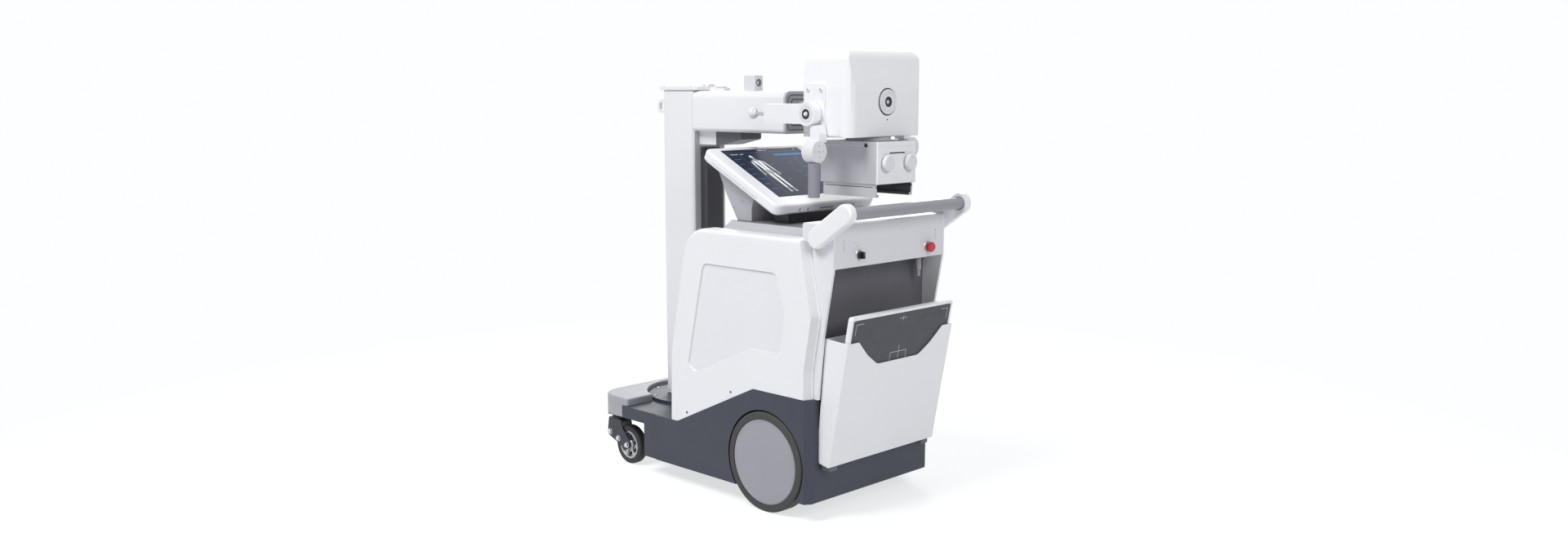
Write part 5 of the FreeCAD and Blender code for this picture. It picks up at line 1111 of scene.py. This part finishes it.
@dataclass
class Console:
    """The operator's console with its fascia, switches and recess.

    Attributes:
        face: Where the fascia's face lies along Y.
        key: The key switch's place across and up.
        stop: The stop button's place across and up.
        screw_reach: How far the fascia's screws stand from the middle.
    """

    face: float = -0.4867
    key: tuple[float, float] = (-0.143, 0.782)
    stop: tuple[float, float] = (0.169, 0.779)
    screw_reach: float = 0.207

    def build(self) -> None:
        """Dresses the console and adds its marks and screws."""
        # Painted shade: the console housing takes a greyed white for the shade of the pods and panels beside it.
        BENCH.soften("console_housing", Paints.CONSOLE_SHADED_WHITE, 1.2 * MM, "chassis")
        BENCH.dress("recess_panel", Paints.RECESS_GREY)
        BENCH.soften("control_panel", Paints.FASCIA_GREY, 0.5 * MM, "chassis")
        BENCH.dress("console_fittings", Paints.DISC_GREY)
        BENCH.soften("key_knob", Paints.BLACK, 0.5 * MM, "key")
        BENCH.dress("stop_button", Paints.RED)
        places = [side.spot(self.screw_reach, self.face, 0.827) for side in Side]
        BENCH.screws("fascia_screws", "chassis", places, Way.REAR.value, 3.4 * MM, 1.8 * MM)
        self.marks()
        self.rings()
        self.key_line()

    def marks(self) -> None:
        """Adds the small plain ticks beside the two switches."""
        form = Form()
        lift = Vector((0, -0.0002, 0))
        for x, z, wide, high in (
            (self.key[0] - 0.014, self.key[1] + 0.036, 0.010, 0.0012),
            (self.key[0] - 0.006, self.key[1] + 0.026, 0.007, 0.0012),
            (self.key[0] + 0.026, self.key[1] + 0.002, 0.009, 0.0012),
            (self.stop[0] - 0.012, self.stop[1] + 0.040, 0.008, 0.0012),
            (self.stop[0] + 0.004, self.stop[1] + 0.040, 0.004, 0.0012),
            (0.052, 0.842, 0.006, 0.0011),
        ):
            form.slab(Vector((x, self.face, z)) + lift / 2, Vector((wide, 0.0004, high)))
        for side in Side:
            form.slab(side.spot(self.screw_reach, self.face, 0.808) + lift / 2, Vector((0.0012, 0.0004, 0.020)))
        BENCH.place(form, "fascia_marks", "chassis", Paints.MARK_GREY, "grey_disc")

    def rings(self) -> None:
        """Adds the bright collars round the two switches."""
        form = Form()
        for (x, z), radius in ((self.key, 0.0142), (self.stop, 0.0165)):
            form.lathe([(radius - 0.0035, 0), (radius + 0.001, 0), (radius + 0.001, 0.0012),
                        (radius, 0.0022), (radius - 0.0008, 0.0024)], Vector((x, self.face, z)),
                       Way.REAR.value, 48)
        BENCH.place(form, "switch_rings", "chassis", Paints.STEEL, "steel")

    def key_line(self) -> None:
        """Adds the pale pointer line on the key knob."""
        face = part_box("key_knob")[0].y
        form = Form()
        form.slab(Vector((self.key[0], face - 0.0002, self.key[1] + 0.0045)), Vector((0.0012, 0.0006, 0.009)))
        BENCH.place(form, "key_pointer", "key", Paints.MARK_GREY, "grey_disc")


@dataclass
class PushHandle:
    """The grey push bar and its white end pods.

    Attributes:
        reach: Where the pods' inner faces are along X.
        bar: The bar's axis, along Y and up.
        radius: The bar's radius.
    """

    reach: float = 0.2503
    bar: tuple[float, float] = (-0.542, 0.908)
    radius: float = 0.0175

    def build(self) -> None:
        """Dresses the handle and adds the collars at the bar's ends."""
        BENCH.dress("handle_bar", Paints.BAR_GREY)
        BENCH.dress("handle_pods", Paints.WHITE)
        form = Form()
        for side in Side:
            start = side.spot(self.reach, self.bar[0], self.bar[1])
            form.lathe([(self.radius + 0.0001, 0.0002), (self.radius + 0.0032, 0.0002),
                        (self.radius + 0.0032, 0.0026), (self.radius + 0.0022, 0.0036),
                        (self.radius + 0.0001, 0.0036)], start, -side.way, 64)
        BENCH.place(form, "bar_collars", "chassis", Paints.GRIP, "grip_grey")


@dataclass
class DetectorBay:
    """The bin and the flat detector in it.

    Attributes:
        low: A point low on the bin's face in the side view, along Y and up.
        high: The point at the top of that face.
        floor: The height of the bin's floor.
        wall: The bin's wall.
        width: The detector's width.
        height: The detector's height.
        inset: How far the corner marks stand in from the detector's edges.
        line: How wide a mark's line is.
    """

    low: tuple[float, float] = (-0.463, 0.168)
    high: tuple[float, float] = (-0.533, 0.541)
    floor: float = 0.237
    wall: float = 0.0035
    width: float = 0.460
    height: float = 0.384
    inset: float = 0.022
    line: float = 0.0011

    @property
    def up(self) -> Vector:
        """The way up the slope of the bin's face."""
        return Vector((0, self.high[0] - self.low[0], self.high[1] - self.low[1])).normalized()

    @property
    def out(self) -> Vector:
        """The way out of the detector's face, towards the operator."""
        return Vector((0, -self.up.z, self.up.y))

    def turn(self) -> Matrix:
        """The turn from a flat drawing to the detector's face."""
        across = Vector((1, 0, 0))
        turned = Matrix((across, self.up, -self.out)).transposed()
        return turned.to_4x4()

    def spot(self, across: float, rise: float, proud: float = 0.0) -> Vector:
        """A point on the detector's face.

        Args:
            across: How far right of the middle.
            rise: How far above its lower edge.
            proud: How far out of the face.

        Returns:
            The point.
        """
        share = (self.floor - self.low[1]) / (self.high[1] - self.low[1])
        foot = Vector((across, self.low[0] + share * (self.high[0] - self.low[0]) + self.wall, self.floor))
        return foot + self.up * (rise + 0.0003) - self.out * 0.0012 + self.out * proud

    def build(self) -> None:
        """Dresses the bin and the detector and draws the alignment marks."""
        pocket = BENCH.soften("detector_bin", Paints.WHITE_METAL, 0.9 * MM, "chassis")
        # The bin's lowest strip, below 0.1675 m, is painted in the darker seam grey.
        BENCH.paint(pocket, Paints.SEAM, Vector((-0.3, -0.6, 0.1)), Vector((0.3, -0.3, 0.1675)))
        BENCH.soften("detector_shell", Paints.WHITE, 0.8 * MM, "detector")
        BENCH.dress("detector_face", Paints.DETECTOR_FACE)
        form = Form()
        half = self.width / 2 - self.inset
        low = self.inset
        high = self.height - self.inset
        thin = self.line
        size = 0.032
        middle = self.height / 2

        def stroke(x: float, z: float, wide: float, tall: float) -> None:
            """Lays one thin inlaid line on the face."""
            form.slab(self.spot(x, z, 0.00005), Vector((wide, tall, 0.0003)), self.turn())

        for x in (-half, half):
            inward = -1 if x > 0 else 1
            for z in (low, high):
                upward = 1 if z == low else -1
                stroke(x + inward * size / 2, z, size, thin)
                stroke(x, z + upward * size / 2, thin, size)
        for z in (high - 0.004, low + 0.004):
            stroke(0, z, 0.034, thin)
            stroke(0, z, thin, 0.016)
        for x in (-half, half):
            stroke(x, middle, thin, 0.030)
            stroke(x, middle, 0.014, thin)
        wide = 0.072
        tall = 0.124
        for sign in (-1, 1):
            stroke(0, middle + sign * tall / 2, wide, thin)
            stroke(0, middle + sign * tall / 2, thin, 0.040)
            stroke(sign * wide / 2, middle, thin, tall)
        stroke(0, middle, 0.030, thin)
        stroke(0, middle, thin, 0.030)
        BENCH.place(form, "detector_marks", "detector", Paints.DETECTOR_MARK, "grey_disc")


@dataclass
class Monitor:
    """The sloped touch screen on its pedestal.

    Attributes:
        near: The upper near edge in the side view, along Y and up.
        slope: How much it rises along Y.
        half: Half its width.
        length: Its size up the slope.
        screen_half: Half the screen's width.
        screen_low: Where the screen starts up the slope.
        screen_high: Where it ends.
    """

    near: tuple[float, float] = (-0.240, 0.909)
    slope: float = 0.5
    half: float = 0.222
    length: float = 0.35777
    screen_half: float = 0.171
    screen_low: float = 0.050
    screen_high: float = 0.33777

    @property
    def figure_place(self) -> tuple[float, float]:
        """Where the middle of the figure's head lies, across and up the slope."""
        return (-0.078, self.screen_high - 0.048)

    def turn(self) -> Matrix:
        """The turn from a flat drawing to the screen's plane."""
        return Matrix.Rotation(math.atan(self.slope), 4, "X")

    def spot(self, across: float, along: float, rise: float = 0.0) -> Vector:
        """A point on the case.

        Args:
            across: How far right of the middle.
            along: How far up the slope from the near edge.
            rise: How far above its upper face.

        Returns:
            The point.
        """
        return Vector((across, self.near[0], self.near[1])) + self.turn().to_3x3() @ Vector((0, along, rise))

    def build(self) -> None:
        """Dresses the monitor and its stand and adds the picture on the screen."""
        BENCH.soften("monitor_housing", Paints.WHITE, 0.8 * MM, "chassis", 50.0)
        BENCH.dress("monitor_screen", Paints.SCREEN)
        # The stand's light grey is darkened with painted shade.
        BENCH.soften("monitor_pedestal", Paints.STAND_GREY_WITH_SHADE, 1.0 * MM, "chassis")
        BENCH.dress("monitor_rest", Paints.BLACK)
        self.slot_shade_and_seams()
        self.stand_screws()
        self.header()
        self.figure()
        self.controls()

    def panel(self, form: Form, x_low: float, x_high: float, low: float, high: float) -> None:
        """Lays a flat rectangle on the screen.

        Args:
            form: The form that takes it.
            x_low: Its left edge.
            x_high: Its right edge.
            low: Its near edge up the slope.
            high: Its far edge.
        """
        centre = self.spot((x_low + x_high) / 2, (low + high) / 2, 0.00012 - 0.0004)
        form.slab(centre, Vector((x_high - x_low, high - low, 0.00012)), self.turn())

    def header(self) -> None:
        """Adds the bars at the top and the foot of the screen."""
        top = self.screen_high
        form = Form()
        self.panel(form, -self.screen_half + 0.004, self.screen_half - 0.004, top - 0.021, top - 0.0198)
        self.panel(form, -self.screen_half + 0.110, self.screen_half - 0.006, self.screen_low + 0.030,
                   self.screen_low + 0.0307)
        self.panel(form, -0.118, -0.1172, self.screen_low + 0.012, top - 0.030)
        BENCH.place(form, "screen_lines", "chassis", Paints.LIT_LINE, "screen_glass")
        form = Form()
        for x_low, x_high, low in ((-0.150, -0.118, top - 0.030), (-0.110, -0.096, top - 0.030),
                                   (-0.020, 0.004, top - 0.011), (0.010, 0.018, top - 0.011),
                                   (0.140, 0.150, top - 0.012), (0.120, 0.160, self.screen_low + 0.018)):
            self.panel(form, x_low, x_high, low, low + 0.0022)
        BENCH.place(form, "screen_titles", "chassis", Paints.LIT_PALE, "screen_glass")

    def controls(self) -> None:
        """Adds the bright bar and the dim fields beside the figure."""
        top = self.screen_high
        form = Form()
        self.panel(form, 0.030, 0.160, top - 0.046, top - 0.036)
        BENCH.place(form, "screen_bar", "chassis", Paints.LIT_BLUE, "screen_glass")
        form = Form()
        for row in range(6):
            along = top - 0.072 - row * 0.026
            self.panel(form, 0.036, 0.036 + (0.026 if row % 2 else 0.020), along, along + 0.0026)
            self.panel(form, 0.088, 0.110, along - 0.001, along + 0.0036)
        for row in range(7):
            along = top - 0.060 - row * 0.030
            self.panel(form, -0.158, -0.158 + (0.020 if row % 2 else 0.028), along, along + 0.0026)
        for row in range(4):
            along = top - 0.052 - row * 0.046
            self.panel(form, -0.040, -0.022, along, along + 0.0022)
        BENCH.place(form, "screen_fields", "chassis", Paints.LIT_DIM, "screen_glass")

    def strip(self, form: Form, points: list[tuple[float, float, float]], side: int, pale: bool = False) -> None:
        """Lays a soft flat limb of the figure, or a paler stripe on one, along a line on the screen.

        Args:
            form: The form that takes it.
            points: (across, down, half width) from the figure's middle and the middle of its head.
            side: 1 or -1 for the side that it lies on.
            pale: Whether it is a stripe, a little above the limbs.
        """
        start, thick = (-0.0001, 0.00006) if pale else (-0.00025, 0.0001)
        middle, head = self.figure_place
        left = [self.spot(middle + side * x - wide, head - down, start) for x, down, wide in points]
        right = [self.spot(middle + side * x + wide, head - down, start) for x, down, wide in reversed(points)]
        form.sheet(left + right, self.turn().to_3x3() @ Vector((0, 0, thick)))

    def figure(self) -> None:
        """Adds the plain standing figure that shows where the picture is taken."""
        form = Form()
        skull = form.disc(Vector((0, 0, 0)), Way.UP.value, 0.0085, 0.0001, 28)
        bmesh.ops.scale(form.bm, vec=(1.0, 1.28, 1.0), verts=skull)
        place = Matrix.Translation(self.spot(*self.figure_place, -0.00025)) @ self.turn()
        bmesh.ops.transform(form.bm, matrix=place, verts=skull)
        trunk = [(0, 0.007, 0.0040), (0, 0.015, 0.0046), (0, 0.019, 0.0120), (0, 0.023, 0.0195), (0, 0.032, 0.0200),
                 (0, 0.050, 0.0165), (0, 0.070, 0.0140), (0, 0.084, 0.0165), (0, 0.096, 0.0180)]
        arm = [(0.0220, 0.026, 0.0042), (0.0260, 0.046, 0.0042), (0.0285, 0.068, 0.0036), (0.0300, 0.090, 0.0030),
               (0.0310, 0.104, 0.0040), (0.0312, 0.112, 0.0026)]
        leg = [(0.0092, 0.097, 0.0086), (0.0098, 0.124, 0.0078), (0.0100, 0.152, 0.0058), (0.0102, 0.172, 0.0060),
               (0.0104, 0.200, 0.0036), (0.0112, 0.208, 0.0052), (0.0125, 0.214, 0.0054)]
        self.strip(form, trunk, 1)
        for side in (-1, 1):
            self.strip(form, arm, side)
            self.strip(form, leg, side)
        BENCH.place(form, "screen_figure", "chassis", Paints.LIT_BODY, "screen_glass")
        form = Form()
        chest = [(0.0100, 0.026, 0.0045), (0.0075, 0.052, 0.0034), (0.0070, 0.080, 0.0040)]
        shin = [(0.0098, 0.104, 0.0030), (0.0102, 0.140, 0.0024), (0.0104, 0.166, 0.0028), (0.0106, 0.190, 0.0014)]
        sleeve = [(0.0238, 0.034, 0.0014), (0.0276, 0.066, 0.0012), (0.0298, 0.088, 0.0009)]
        for side in (-1, 1):
            for stripe in (chest, shin, sleeve):
                self.strip(form, stripe, side, pale=True)
        self.strip(form, [(0, 0.0005, 0.0040), (0, -0.0040, 0.0044), (0, -0.0076, 0.0024)], 1, pale=True)
        BENCH.place(form, "screen_figure_core", "chassis", Paints.LIT_CORE, "screen_glass")

    def slot_shade_and_seams(self) -> None:
        """Fills the small slots of the near edge with black, painted shade for their insides, and adds the seam
        lines.
        """
        form = Form()
        # Black slabs as painted shade inside the slots.
        for x in (-0.120, -0.084, 0.084, 0.120):
            form.slab(self.spot(x, 0.0018, -0.019), Vector((0.0044, 0.0012, 0.0094)), self.turn())
        form.slab(self.spot(0, 0.0024, -0.019), Vector((0.0592, 0.0012, 0.0034)), self.turn())
        BENCH.place(form, "monitor_slot_shade", "chassis", Paints.BLACK, "black_plastic")
        form = Form()
        for side in Side:
            form.slab(self.spot(side.value * (self.half - 0.0001), self.length * 0.55, -0.0225),
                      Vector((0.0008, self.length * 0.62, 0.0009)), self.turn())
        form.slab(self.spot(0, -0.0001, -0.0262), Vector((self.half * 1.55, 0.0008, 0.0009)), self.turn())
        BENCH.place(form, "monitor_seam", "chassis", Paints.SEAM, "grey_disc")

    def stand_screws(self) -> None:
        """Adds the flat screws on the pedestal's cheeks."""
        for side in Side:
            places = [side.spot(0.180, -0.046, 0.912), side.spot(0.180, -0.008, 0.893)]
            BENCH.screws("pedestal_screws_" + side.word, "chassis", places, side.way, 5 * MM, 2 * MM,
                         Paints.STAND_GREY_WITH_SHADE)


@dataclass
class Column:
    """The turning column with its mast, cap and cable cover.

    Attributes:
        y: Where its axis stands.
        half: Half its width.
        top: The height of its upper end.
    """

    y: float = 0.373
    half: float = 0.075
    top: float = 1.245

    def build(self) -> None:
        """Dresses the column, paints shade on its rear face, and adds a seam line and a painted shadow line under the
        cap.
        """
        tube = BENCH.soften("column_outer", Paints.COLUMN_WHITE, 0.8 * MM, "column", 50.0)
        rear = self.y - self.half
        # Painted shade on the column's rear face, under the arm.
        BENCH.paint(tube, Paints.PAINTED_SHADING_AND_POINTER_GREY, Vector((-0.076, rear - 0.001, 0.1)), Vector((0.076, rear + 0.0005, 1.3)))
        BENCH.dress("cable_cover", Paints.COVER_BLACK)
        BENCH.soften("column_hook", Paints.COLUMN_WHITE, 1.2 * MM, "column", 50.0)
        BENCH.dress("mast", Paints.MAST)
        BENCH.soften("cap_plate", Paints.COLUMN_WHITE, 1.0 * MM, "carriage", 50.0)
        form = Form()
        # The lower collar is a seam line; the upper one, just under the cap plate, is a painted shadow of the gap
        # below the plate.
        for height, proud, thick in ((0.2262, 0.0003, 0.0012), (self.top - 0.0016, 0.0004, 0.0024)):
            outside = self.half + proud
            form.collar(Vector((0, self.y, height)), (outside, outside, 0.0142, 0.0142), 0.0016, thick)
        BENCH.place(form, "column_seam_and_cap_shadow", "column", Paints.SEAM, "grey_disc")
        places = [Vector((x, self.y + 0.082, self.top + 0.012)) for x in (-0.058, 0.058)]
        BENCH.screws("cap_screws", "carriage", places, Way.UP.value, 4 * MM, 2 * MM)


@dataclass
class Arm:
    """The telescopic arm with its view camera.

    Attributes:
        axis: The height of its middle.
        mouth: Where its collar ends along Y.
        outer_stage: Half the outer stage's width and height and its upper and lower corners' rounding.
        inner_stage: The same of the inner stage.
        gusset_split: Where the gusset's darker painted shade ends along Y.
    """

    axis: float = 1.178
    mouth: float = -0.126
    outer_stage: tuple[float, float, float, float] = (0.0615, 0.0515, 0.0159, 0.0059)
    inner_stage: tuple[float, float, float, float] = (0.048, 0.038, 0.0078, 0.003)
    gusset_split: float = 0.217

    def build(self) -> None:
        """Dresses the arm, paints shade on its gusset and adds the dark rings between its stages."""
        housing = BENCH.soften("arm_housing", Paints.WHITE_METAL, 1.0 * MM, "carriage", 50.0)
        # Painted shade on the gusset under the arm: grey behind the split, dark grey in front of it.
        low = Vector((-0.0455, 0.09, 1.06))
        high = Vector((0.0455, 0.2935, 1.1129))
        BENCH.split(housing, Vector((0, self.gusset_split, 0)), Vector((0, 1, 0)), low, high)
        BENCH.paint(housing, Paints.PAINTED_SHADING_AND_POINTER_GREY, low, high)
        BENCH.paint(housing, Paints.BRACKET_SHADE_GREY, low, Vector((high.x, self.gusset_split, high.z)))
        BENCH.dress("arm_collar", Paints.RAIL_GREY)
        BENCH.soften("arm_camera", Paints.FASCIA_GREY, 0.5 * MM, "carriage", 50.0)
        BENCH.dress("arm_stage_1", Paints.STAGE_GREY)
        BENCH.dress("arm_stage_2", Paints.STAGE_GREY)
        self.seal("mouth_seal_outer", "carriage", self.mouth, self.outer_stage)
        self.seal("mouth_seal_inner", "stage_1", self.mouth - 2 * MM, self.inner_stage)
        form = Form()
        start = Vector((0, 0.0645, 1.2685))
        form.lathe([(0, -0.0062), (0.0079, -0.0062), (0.0079, -0.0014), (0.0086, 0.0002), (0.0112, 0.0006),
                    (0.0118, 0.0002), (0.0118, -0.0004), (0.0079, -0.0070), (0, -0.0070)], start,
                   Way.REAR.value, 48)
        BENCH.place(form, "camera_eye", "carriage", Paints.LENS, "black_plastic")

    def seal(self, name: str, body: str, place: float, section: tuple[float, float, float, float]) -> None:
        """Lays the dark wiper round a stage, on the frame that it slides through.

        Args:
            name: The piece's name.
            body: The body that carries it.
            place: Where the frame's face lies along Y.
            section: Half the stage's width, half its height and the rounding of its upper and lower corners.
        """
        near = 0.35 * MM
        far = 2.6 * MM
        form = Form()
        form.collar(Vector((0, place - 0.2 * MM, self.axis)), tuple(size + far for size in section), far - near,
                    1.2 * MM, Matrix.Rotation(math.radians(90), 4, "X"))
        BENCH.place(form, name, body, Paints.SEAL_BLACK, "black_plastic")


@dataclass
class Yoke:
    """The fork that carries the head, with its lock knob."""

    def build(self) -> None:
        """Dresses the fork and its knob."""
        BENCH.soften("yoke", Paints.WHITE_METAL, 1.4 * MM, "yoke_fork", 50.0)
        BENCH.dress("lock_knob", Paints.KNOB_WHITE)
        low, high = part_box("lock_knob")
        foot = Vector(((low.x + high.x) / 2, -0.163, (low.z + high.z) / 2))
        form = Form()
        form.lathe([(0.0061, 0), (0.0064, 0.0003), (0.0064, 0.034), (0.0061, 0.0343)], foot, Way.FRONT.value, 40)
        BENCH.place(form, "lock_sleeve", "lock", Paints.STEEL, "steel")


@dataclass
class TubeHead:
    """The tube head between the yoke's arms, with its dials.

    Attributes:
        tilt: The tilt axis, along Y and up.
        trunnion: Where the trunnions' outer faces are along X.
        plate: Where the side plates' outer faces are along X.
        rear: Where the head's rear face is along Y.
        dial: The height of the rear dial.
        crown: The rounding of the shell's front top edge.
        wall: The shell's wall.
    """

    tilt: tuple[float, float] = (-0.340, 1.178)
    trunnion: float = 0.2095
    plate: float = 0.1725
    rear: float = -0.468
    dial: float = 1.212
    crown: float = 0.046
    wall: float = 0.005

    def build(self) -> None:
        """Dresses the head and adds its dials' scales and its screws."""
        self.shell()
        BENCH.dress("side_plates", Paints.WHITE)
        BENCH.soften("trunnions", Paints.WHITE, 1.0 * MM, "head", 50.0)
        BENCH.dress("angle_dials", Paints.KNOB_WHITE)
        BENCH.dress("tube_insert", Paints.CAST)
        BENCH.dress("hand_pads", Paints.KNOB_WHITE)
        BENCH.dress("hand_grips", Paints.GRIP)
        for side in Side:
            places = [side.spot(self.plate, self.tilt[0] + shift, 1.247) for shift in (-0.025, 0.025)]
            BENCH.screws("plate_screws_" + side.word, "head", places, side.way, 7 * MM, 4.5 * MM, Paints.KNOB_WHITE)
            centre = side.spot(self.trunnion, self.tilt[0], self.tilt[1])
            self.scale("tilt_scale_" + side.word, centre, side.way, 0.0190, 0.0225)
            self.cup("tilt_cup_" + side.word, centre, side.way, 0.0135)
            self.pad_keys(side)
        centre = Vector((0, self.rear - 0.002, self.dial))
        self.scale("roll_scale", centre, Way.REAR.value, 0.0245, 0.0285)
        self.cup("roll_cup", centre, Way.REAR.value, 0.0138)
        form = Form()
        groove = Vector((0, self.rear + 0.0019, self.dial))
        form.lathe([(0.0358, 0), (0.0358, 0.0005), (0.0396, 0.0005), (0.0396, 0)], groove, Way.REAR.value, 96)
        form.disc(Vector((0, -0.4659, 1.161)), Way.REAR.value, 0.0022, 0.0005, 20)
        BENCH.place(form, "roll_groove", "head", Paints.SEAL_BLACK, "black_plastic")

    def shell(self) -> None:
        """Stands a copy with the full round of the front top edge in for the head's shell."""
        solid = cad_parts["head_housing"]
        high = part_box("head_housing")[1]
        form = Form()
        bm = form.bm
        bm.from_mesh(solid.data)
        bmesh.ops.remove_doubles(bm, verts=bm.verts, dist=2e-6)
        start_y = high.y - self.crown
        start_z = high.z - self.crown
        steps = 12
        rises = [self.crown * math.sin(math.radians(90 / steps * step)) for step in range(steps)]
        for rise in rises:
            form.cut(Vector((0, start_y + rise, 0)), Way.FRONT.value)
        for rise in rises:
            form.cut(Vector((0, 0, start_z + rise)), Way.UP.value)
        bm.normal_update()
        moves = []
        for vert in bm.verts:
            reach = Vector((0, vert.co.y - start_y, vert.co.z - start_z))
            if reach.y <= 0 or reach.z <= 0:
                continue
            outside = vert.normal.dot(reach) > 0
            limit = self.crown if outside else self.crown - self.wall
            if reach.length > limit:
                moves.append((vert, reach.normalized() * limit))
        for vert, reach in moves:
            vert.co.y = start_y + reach.y
            vert.co.z = start_z + reach.z
        bmesh.ops.dissolve_degenerate(bm, dist=1e-6, edges=bm.edges)
        shell = BENCH.mount(form, "head_shell_finished", "head", Paints.WHITE)
        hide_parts("head_housing")

    def scale(self, name: str, centre: Vector, way: Vector, inner: float, outer: float) -> None:
        """Draws a dial's ticks.

        Args:
            name: The piece's name.
            centre: The middle of the dial's face.
            way: The direction the face looks in.
            inner: The ticks' inner radius.
            outer: The ticks' outer radius.
        """
        form = Form()
        turn = Form.turn_to(way)
        ticks = 36
        for index in range(ticks):
            angle = math.tau * index / ticks
            long = index % 3 == 0
            start = inner if long else inner + 0.0016
            middle = (start + outer) / 2
            spot = turn @ Vector((middle * math.cos(angle), middle * math.sin(angle), 0))
            spin = turn @ Matrix.Rotation(angle, 4, "Z")
            form.slab(centre + spot.to_3d(), Vector((outer - start, 0.0005, 0.0003)), spin)
        BENCH.place(form, name, "head", Paints.MARK_GREY, "grey_disc")

    def cup(self, name: str, centre: Vector, way: Vector, radius: float) -> None:
        """Lines a dial's cup with its dark dish, open in the middle.

        Args:
            name: The piece's name.
            centre: The middle of the dial's face.
            way: The direction the face looks in.
            radius: The cup's radius.
        """
        form = Form()
        form.lathe([(radius + 0.0010, 0.0001), (radius + 0.0010, 0.0006), (radius, 0.0008),
                    (radius - 0.0012, 0.0003), (radius - 0.0062, -0.0008), (radius - 0.0064, -0.0014),
                    (radius - 0.0012, -0.0004), (radius + 0.0010, 0.0001)], centre, way, 64)
        BENCH.place(form, name, "head", Paints.SEAL_BLACK, "black_plastic")

    def pad_keys(self, side: Side) -> None:
        """Adds the five small keys on a pad's rear face.

        Args:
            side: Which pad.
        """
        form = Form()
        centre = side.spot(0.208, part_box("hand_pads")[0].y, 1.073)
        for x, z in ((0, 0.016), (0, -0.016), (0.016, 0), (-0.016, 0)):
            spot = centre + Vector((x, 0, z))
            form.disc(spot, Way.REAR.value, 0.0016, 0.0004, 16)
        for wide, tall in ((0.0060, 0.0010), (0.0010, 0.0060)):
            form.slab(centre, Vector((wide, 0.0006, tall)))
        BENCH.place(form, "pad_marks_" + side.word, "head", Paints.MARK_GREY, "grey_disc")


@dataclass
class Collimator:
    """The collimator with its knobs, window and accessory rails.

    Attributes:
        rear: Where its rear face is along Y.
        knob_height: The height of its knobs.
        half: Half its width.
        middle: Where its own middle lies along Y.
        ring_height: The height of the middle of the round line on its sides.
    """

    rear: float = -0.505
    knob_height: float = 1.039
    half: float = 0.0875
    middle: float = -0.394
    ring_height: float = 1.052

    def build(self) -> None:
        """Dresses the collimator, paints shade on its sides, top and the insides of its rails, and adds its marks."""
        BENCH.dress("collimator_ring", Paints.RAIL_GREY)
        body = BENCH.soften("collimator_body", Paints.WHITE_METAL, 0.8 * MM, "collimator", 50.0)
        # Painted shade on the collimator's sides and top, which lie under the head.
        near = self.half - 0.2 * MM
        far = self.half + 0.2 * MM
        BENCH.paint_sides(body, Paints.PAINTED_SHADING_AND_POINTER_GREY, Vector((near, -0.6, 0.97)), Vector((far, -0.2, 1.11)))
        BENCH.paint(body, Paints.TOP_SHADE_GREY, Vector((-0.1, -0.6, 1.0995)), Vector((0.1, -0.2, 1.1005)))
        BENCH.dress("collimator_blades", Paints.CAST)
        BENCH.dress("light_window", Paints.WINDOW)
        BENCH.dress("lamp_button", Paints.BLACK)
        rails = BENCH.soften("accessory_rails", Paints.RAIL_GREY, 0.5 * MM, "collimator", 50.0)
        # Painted shade inside the accessory rails.
        BENCH.paint(rails, Paints.MARK_AND_SHADE_DARK, Vector((-0.0835, -0.49, 0.94)), Vector((0.0835, -0.2915, 0.978)))
        for side in Side:
            word = side.word
            BENCH.dress("collimator_knob_" + word, Paints.KNOB_WHITE)
            form = Form()
            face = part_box("collimator_knob_" + word)[0].y
            centre = side.spot(0.050, face, self.knob_height)
            form.slab(centre + Vector((0, -0.0001, 0.0155)), Vector((0.0012, 0.0004, 0.0085)))
            BENCH.place(form, "knob_pointer_" + word, "field_knob_" + word, Paints.PAINTED_SHADING_AND_POINTER_GREY, "grey_disc")
        form = Form()
        # Black that stands for the shade inside the slot on the rear face.
        form.slab(Vector((0, self.rear + 0.0010, 1.067)), Vector((0.0676, 0.0016, 0.0036)))
        BENCH.place(form, "collimator_slot_shade", "collimator", Paints.BLACK, "black_plastic")
        self.side_rings()
        self.crosshair()

    def side_rings(self) -> None:
        """Adds the faint round line moulded in each side of the collimator."""
        for side in Side:
            form = Form()
            form.lathe([(0.0716, -0.0002), (0.0716, 0.00015), (0.0722, 0.0003), (0.0728, 0.00015), (0.0728, -0.0002)],
                       side.spot(self.half, self.middle, self.ring_height), side.way, 128)
            for height, way in ((1.0865, Way.UP.value), (0.9815, -Way.UP.value)):
                form.cut(Vector((0, 0, height)), way, clear=True)
            BENCH.place(form, "collimator_ring_line_" + side.word, "collimator", Paints.STAND_GREY_WITH_SHADE, "grey_disc")

    def crosshair(self) -> None:
        """Adds the fine cross on the light window."""
        low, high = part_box("light_window")
        centre = Vector(((low.x + high.x) / 2, (low.y + high.y) / 2, low.z - 0.1 * MM))
        form = Form()
        for wide, deep in ((0.118, 0.0006), (0.0006, 0.118)):
            form.slab(centre, Vector((wide, deep, 0.0002)))
        BENCH.place(form, "window_cross", "collimator", Paints.MARK_AND_SHADE_DARK, "grey_disc")


def main() -> None:
    """Dresses the whole machine in its studio."""
    logging.basicConfig(level=logging.INFO, format="%(name)s: %(message)s")
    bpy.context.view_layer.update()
    Studio().build()
    assemblies = [LowerBody(), DriveWheel(Side.LEFT), DriveWheel(Side.RIGHT), Caster(Side.LEFT),
                  Caster(Side.RIGHT), Cabinet(), Console(), PushHandle(), DetectorBay(), Monitor(), Column(),
                  Arm(), Yoke(), TubeHead(), Collimator()]
    for assembly in assemblies:
        assembly.build()
        log.info("built %s", type(assembly).__name__)


if __name__ == "__main__":
    main()
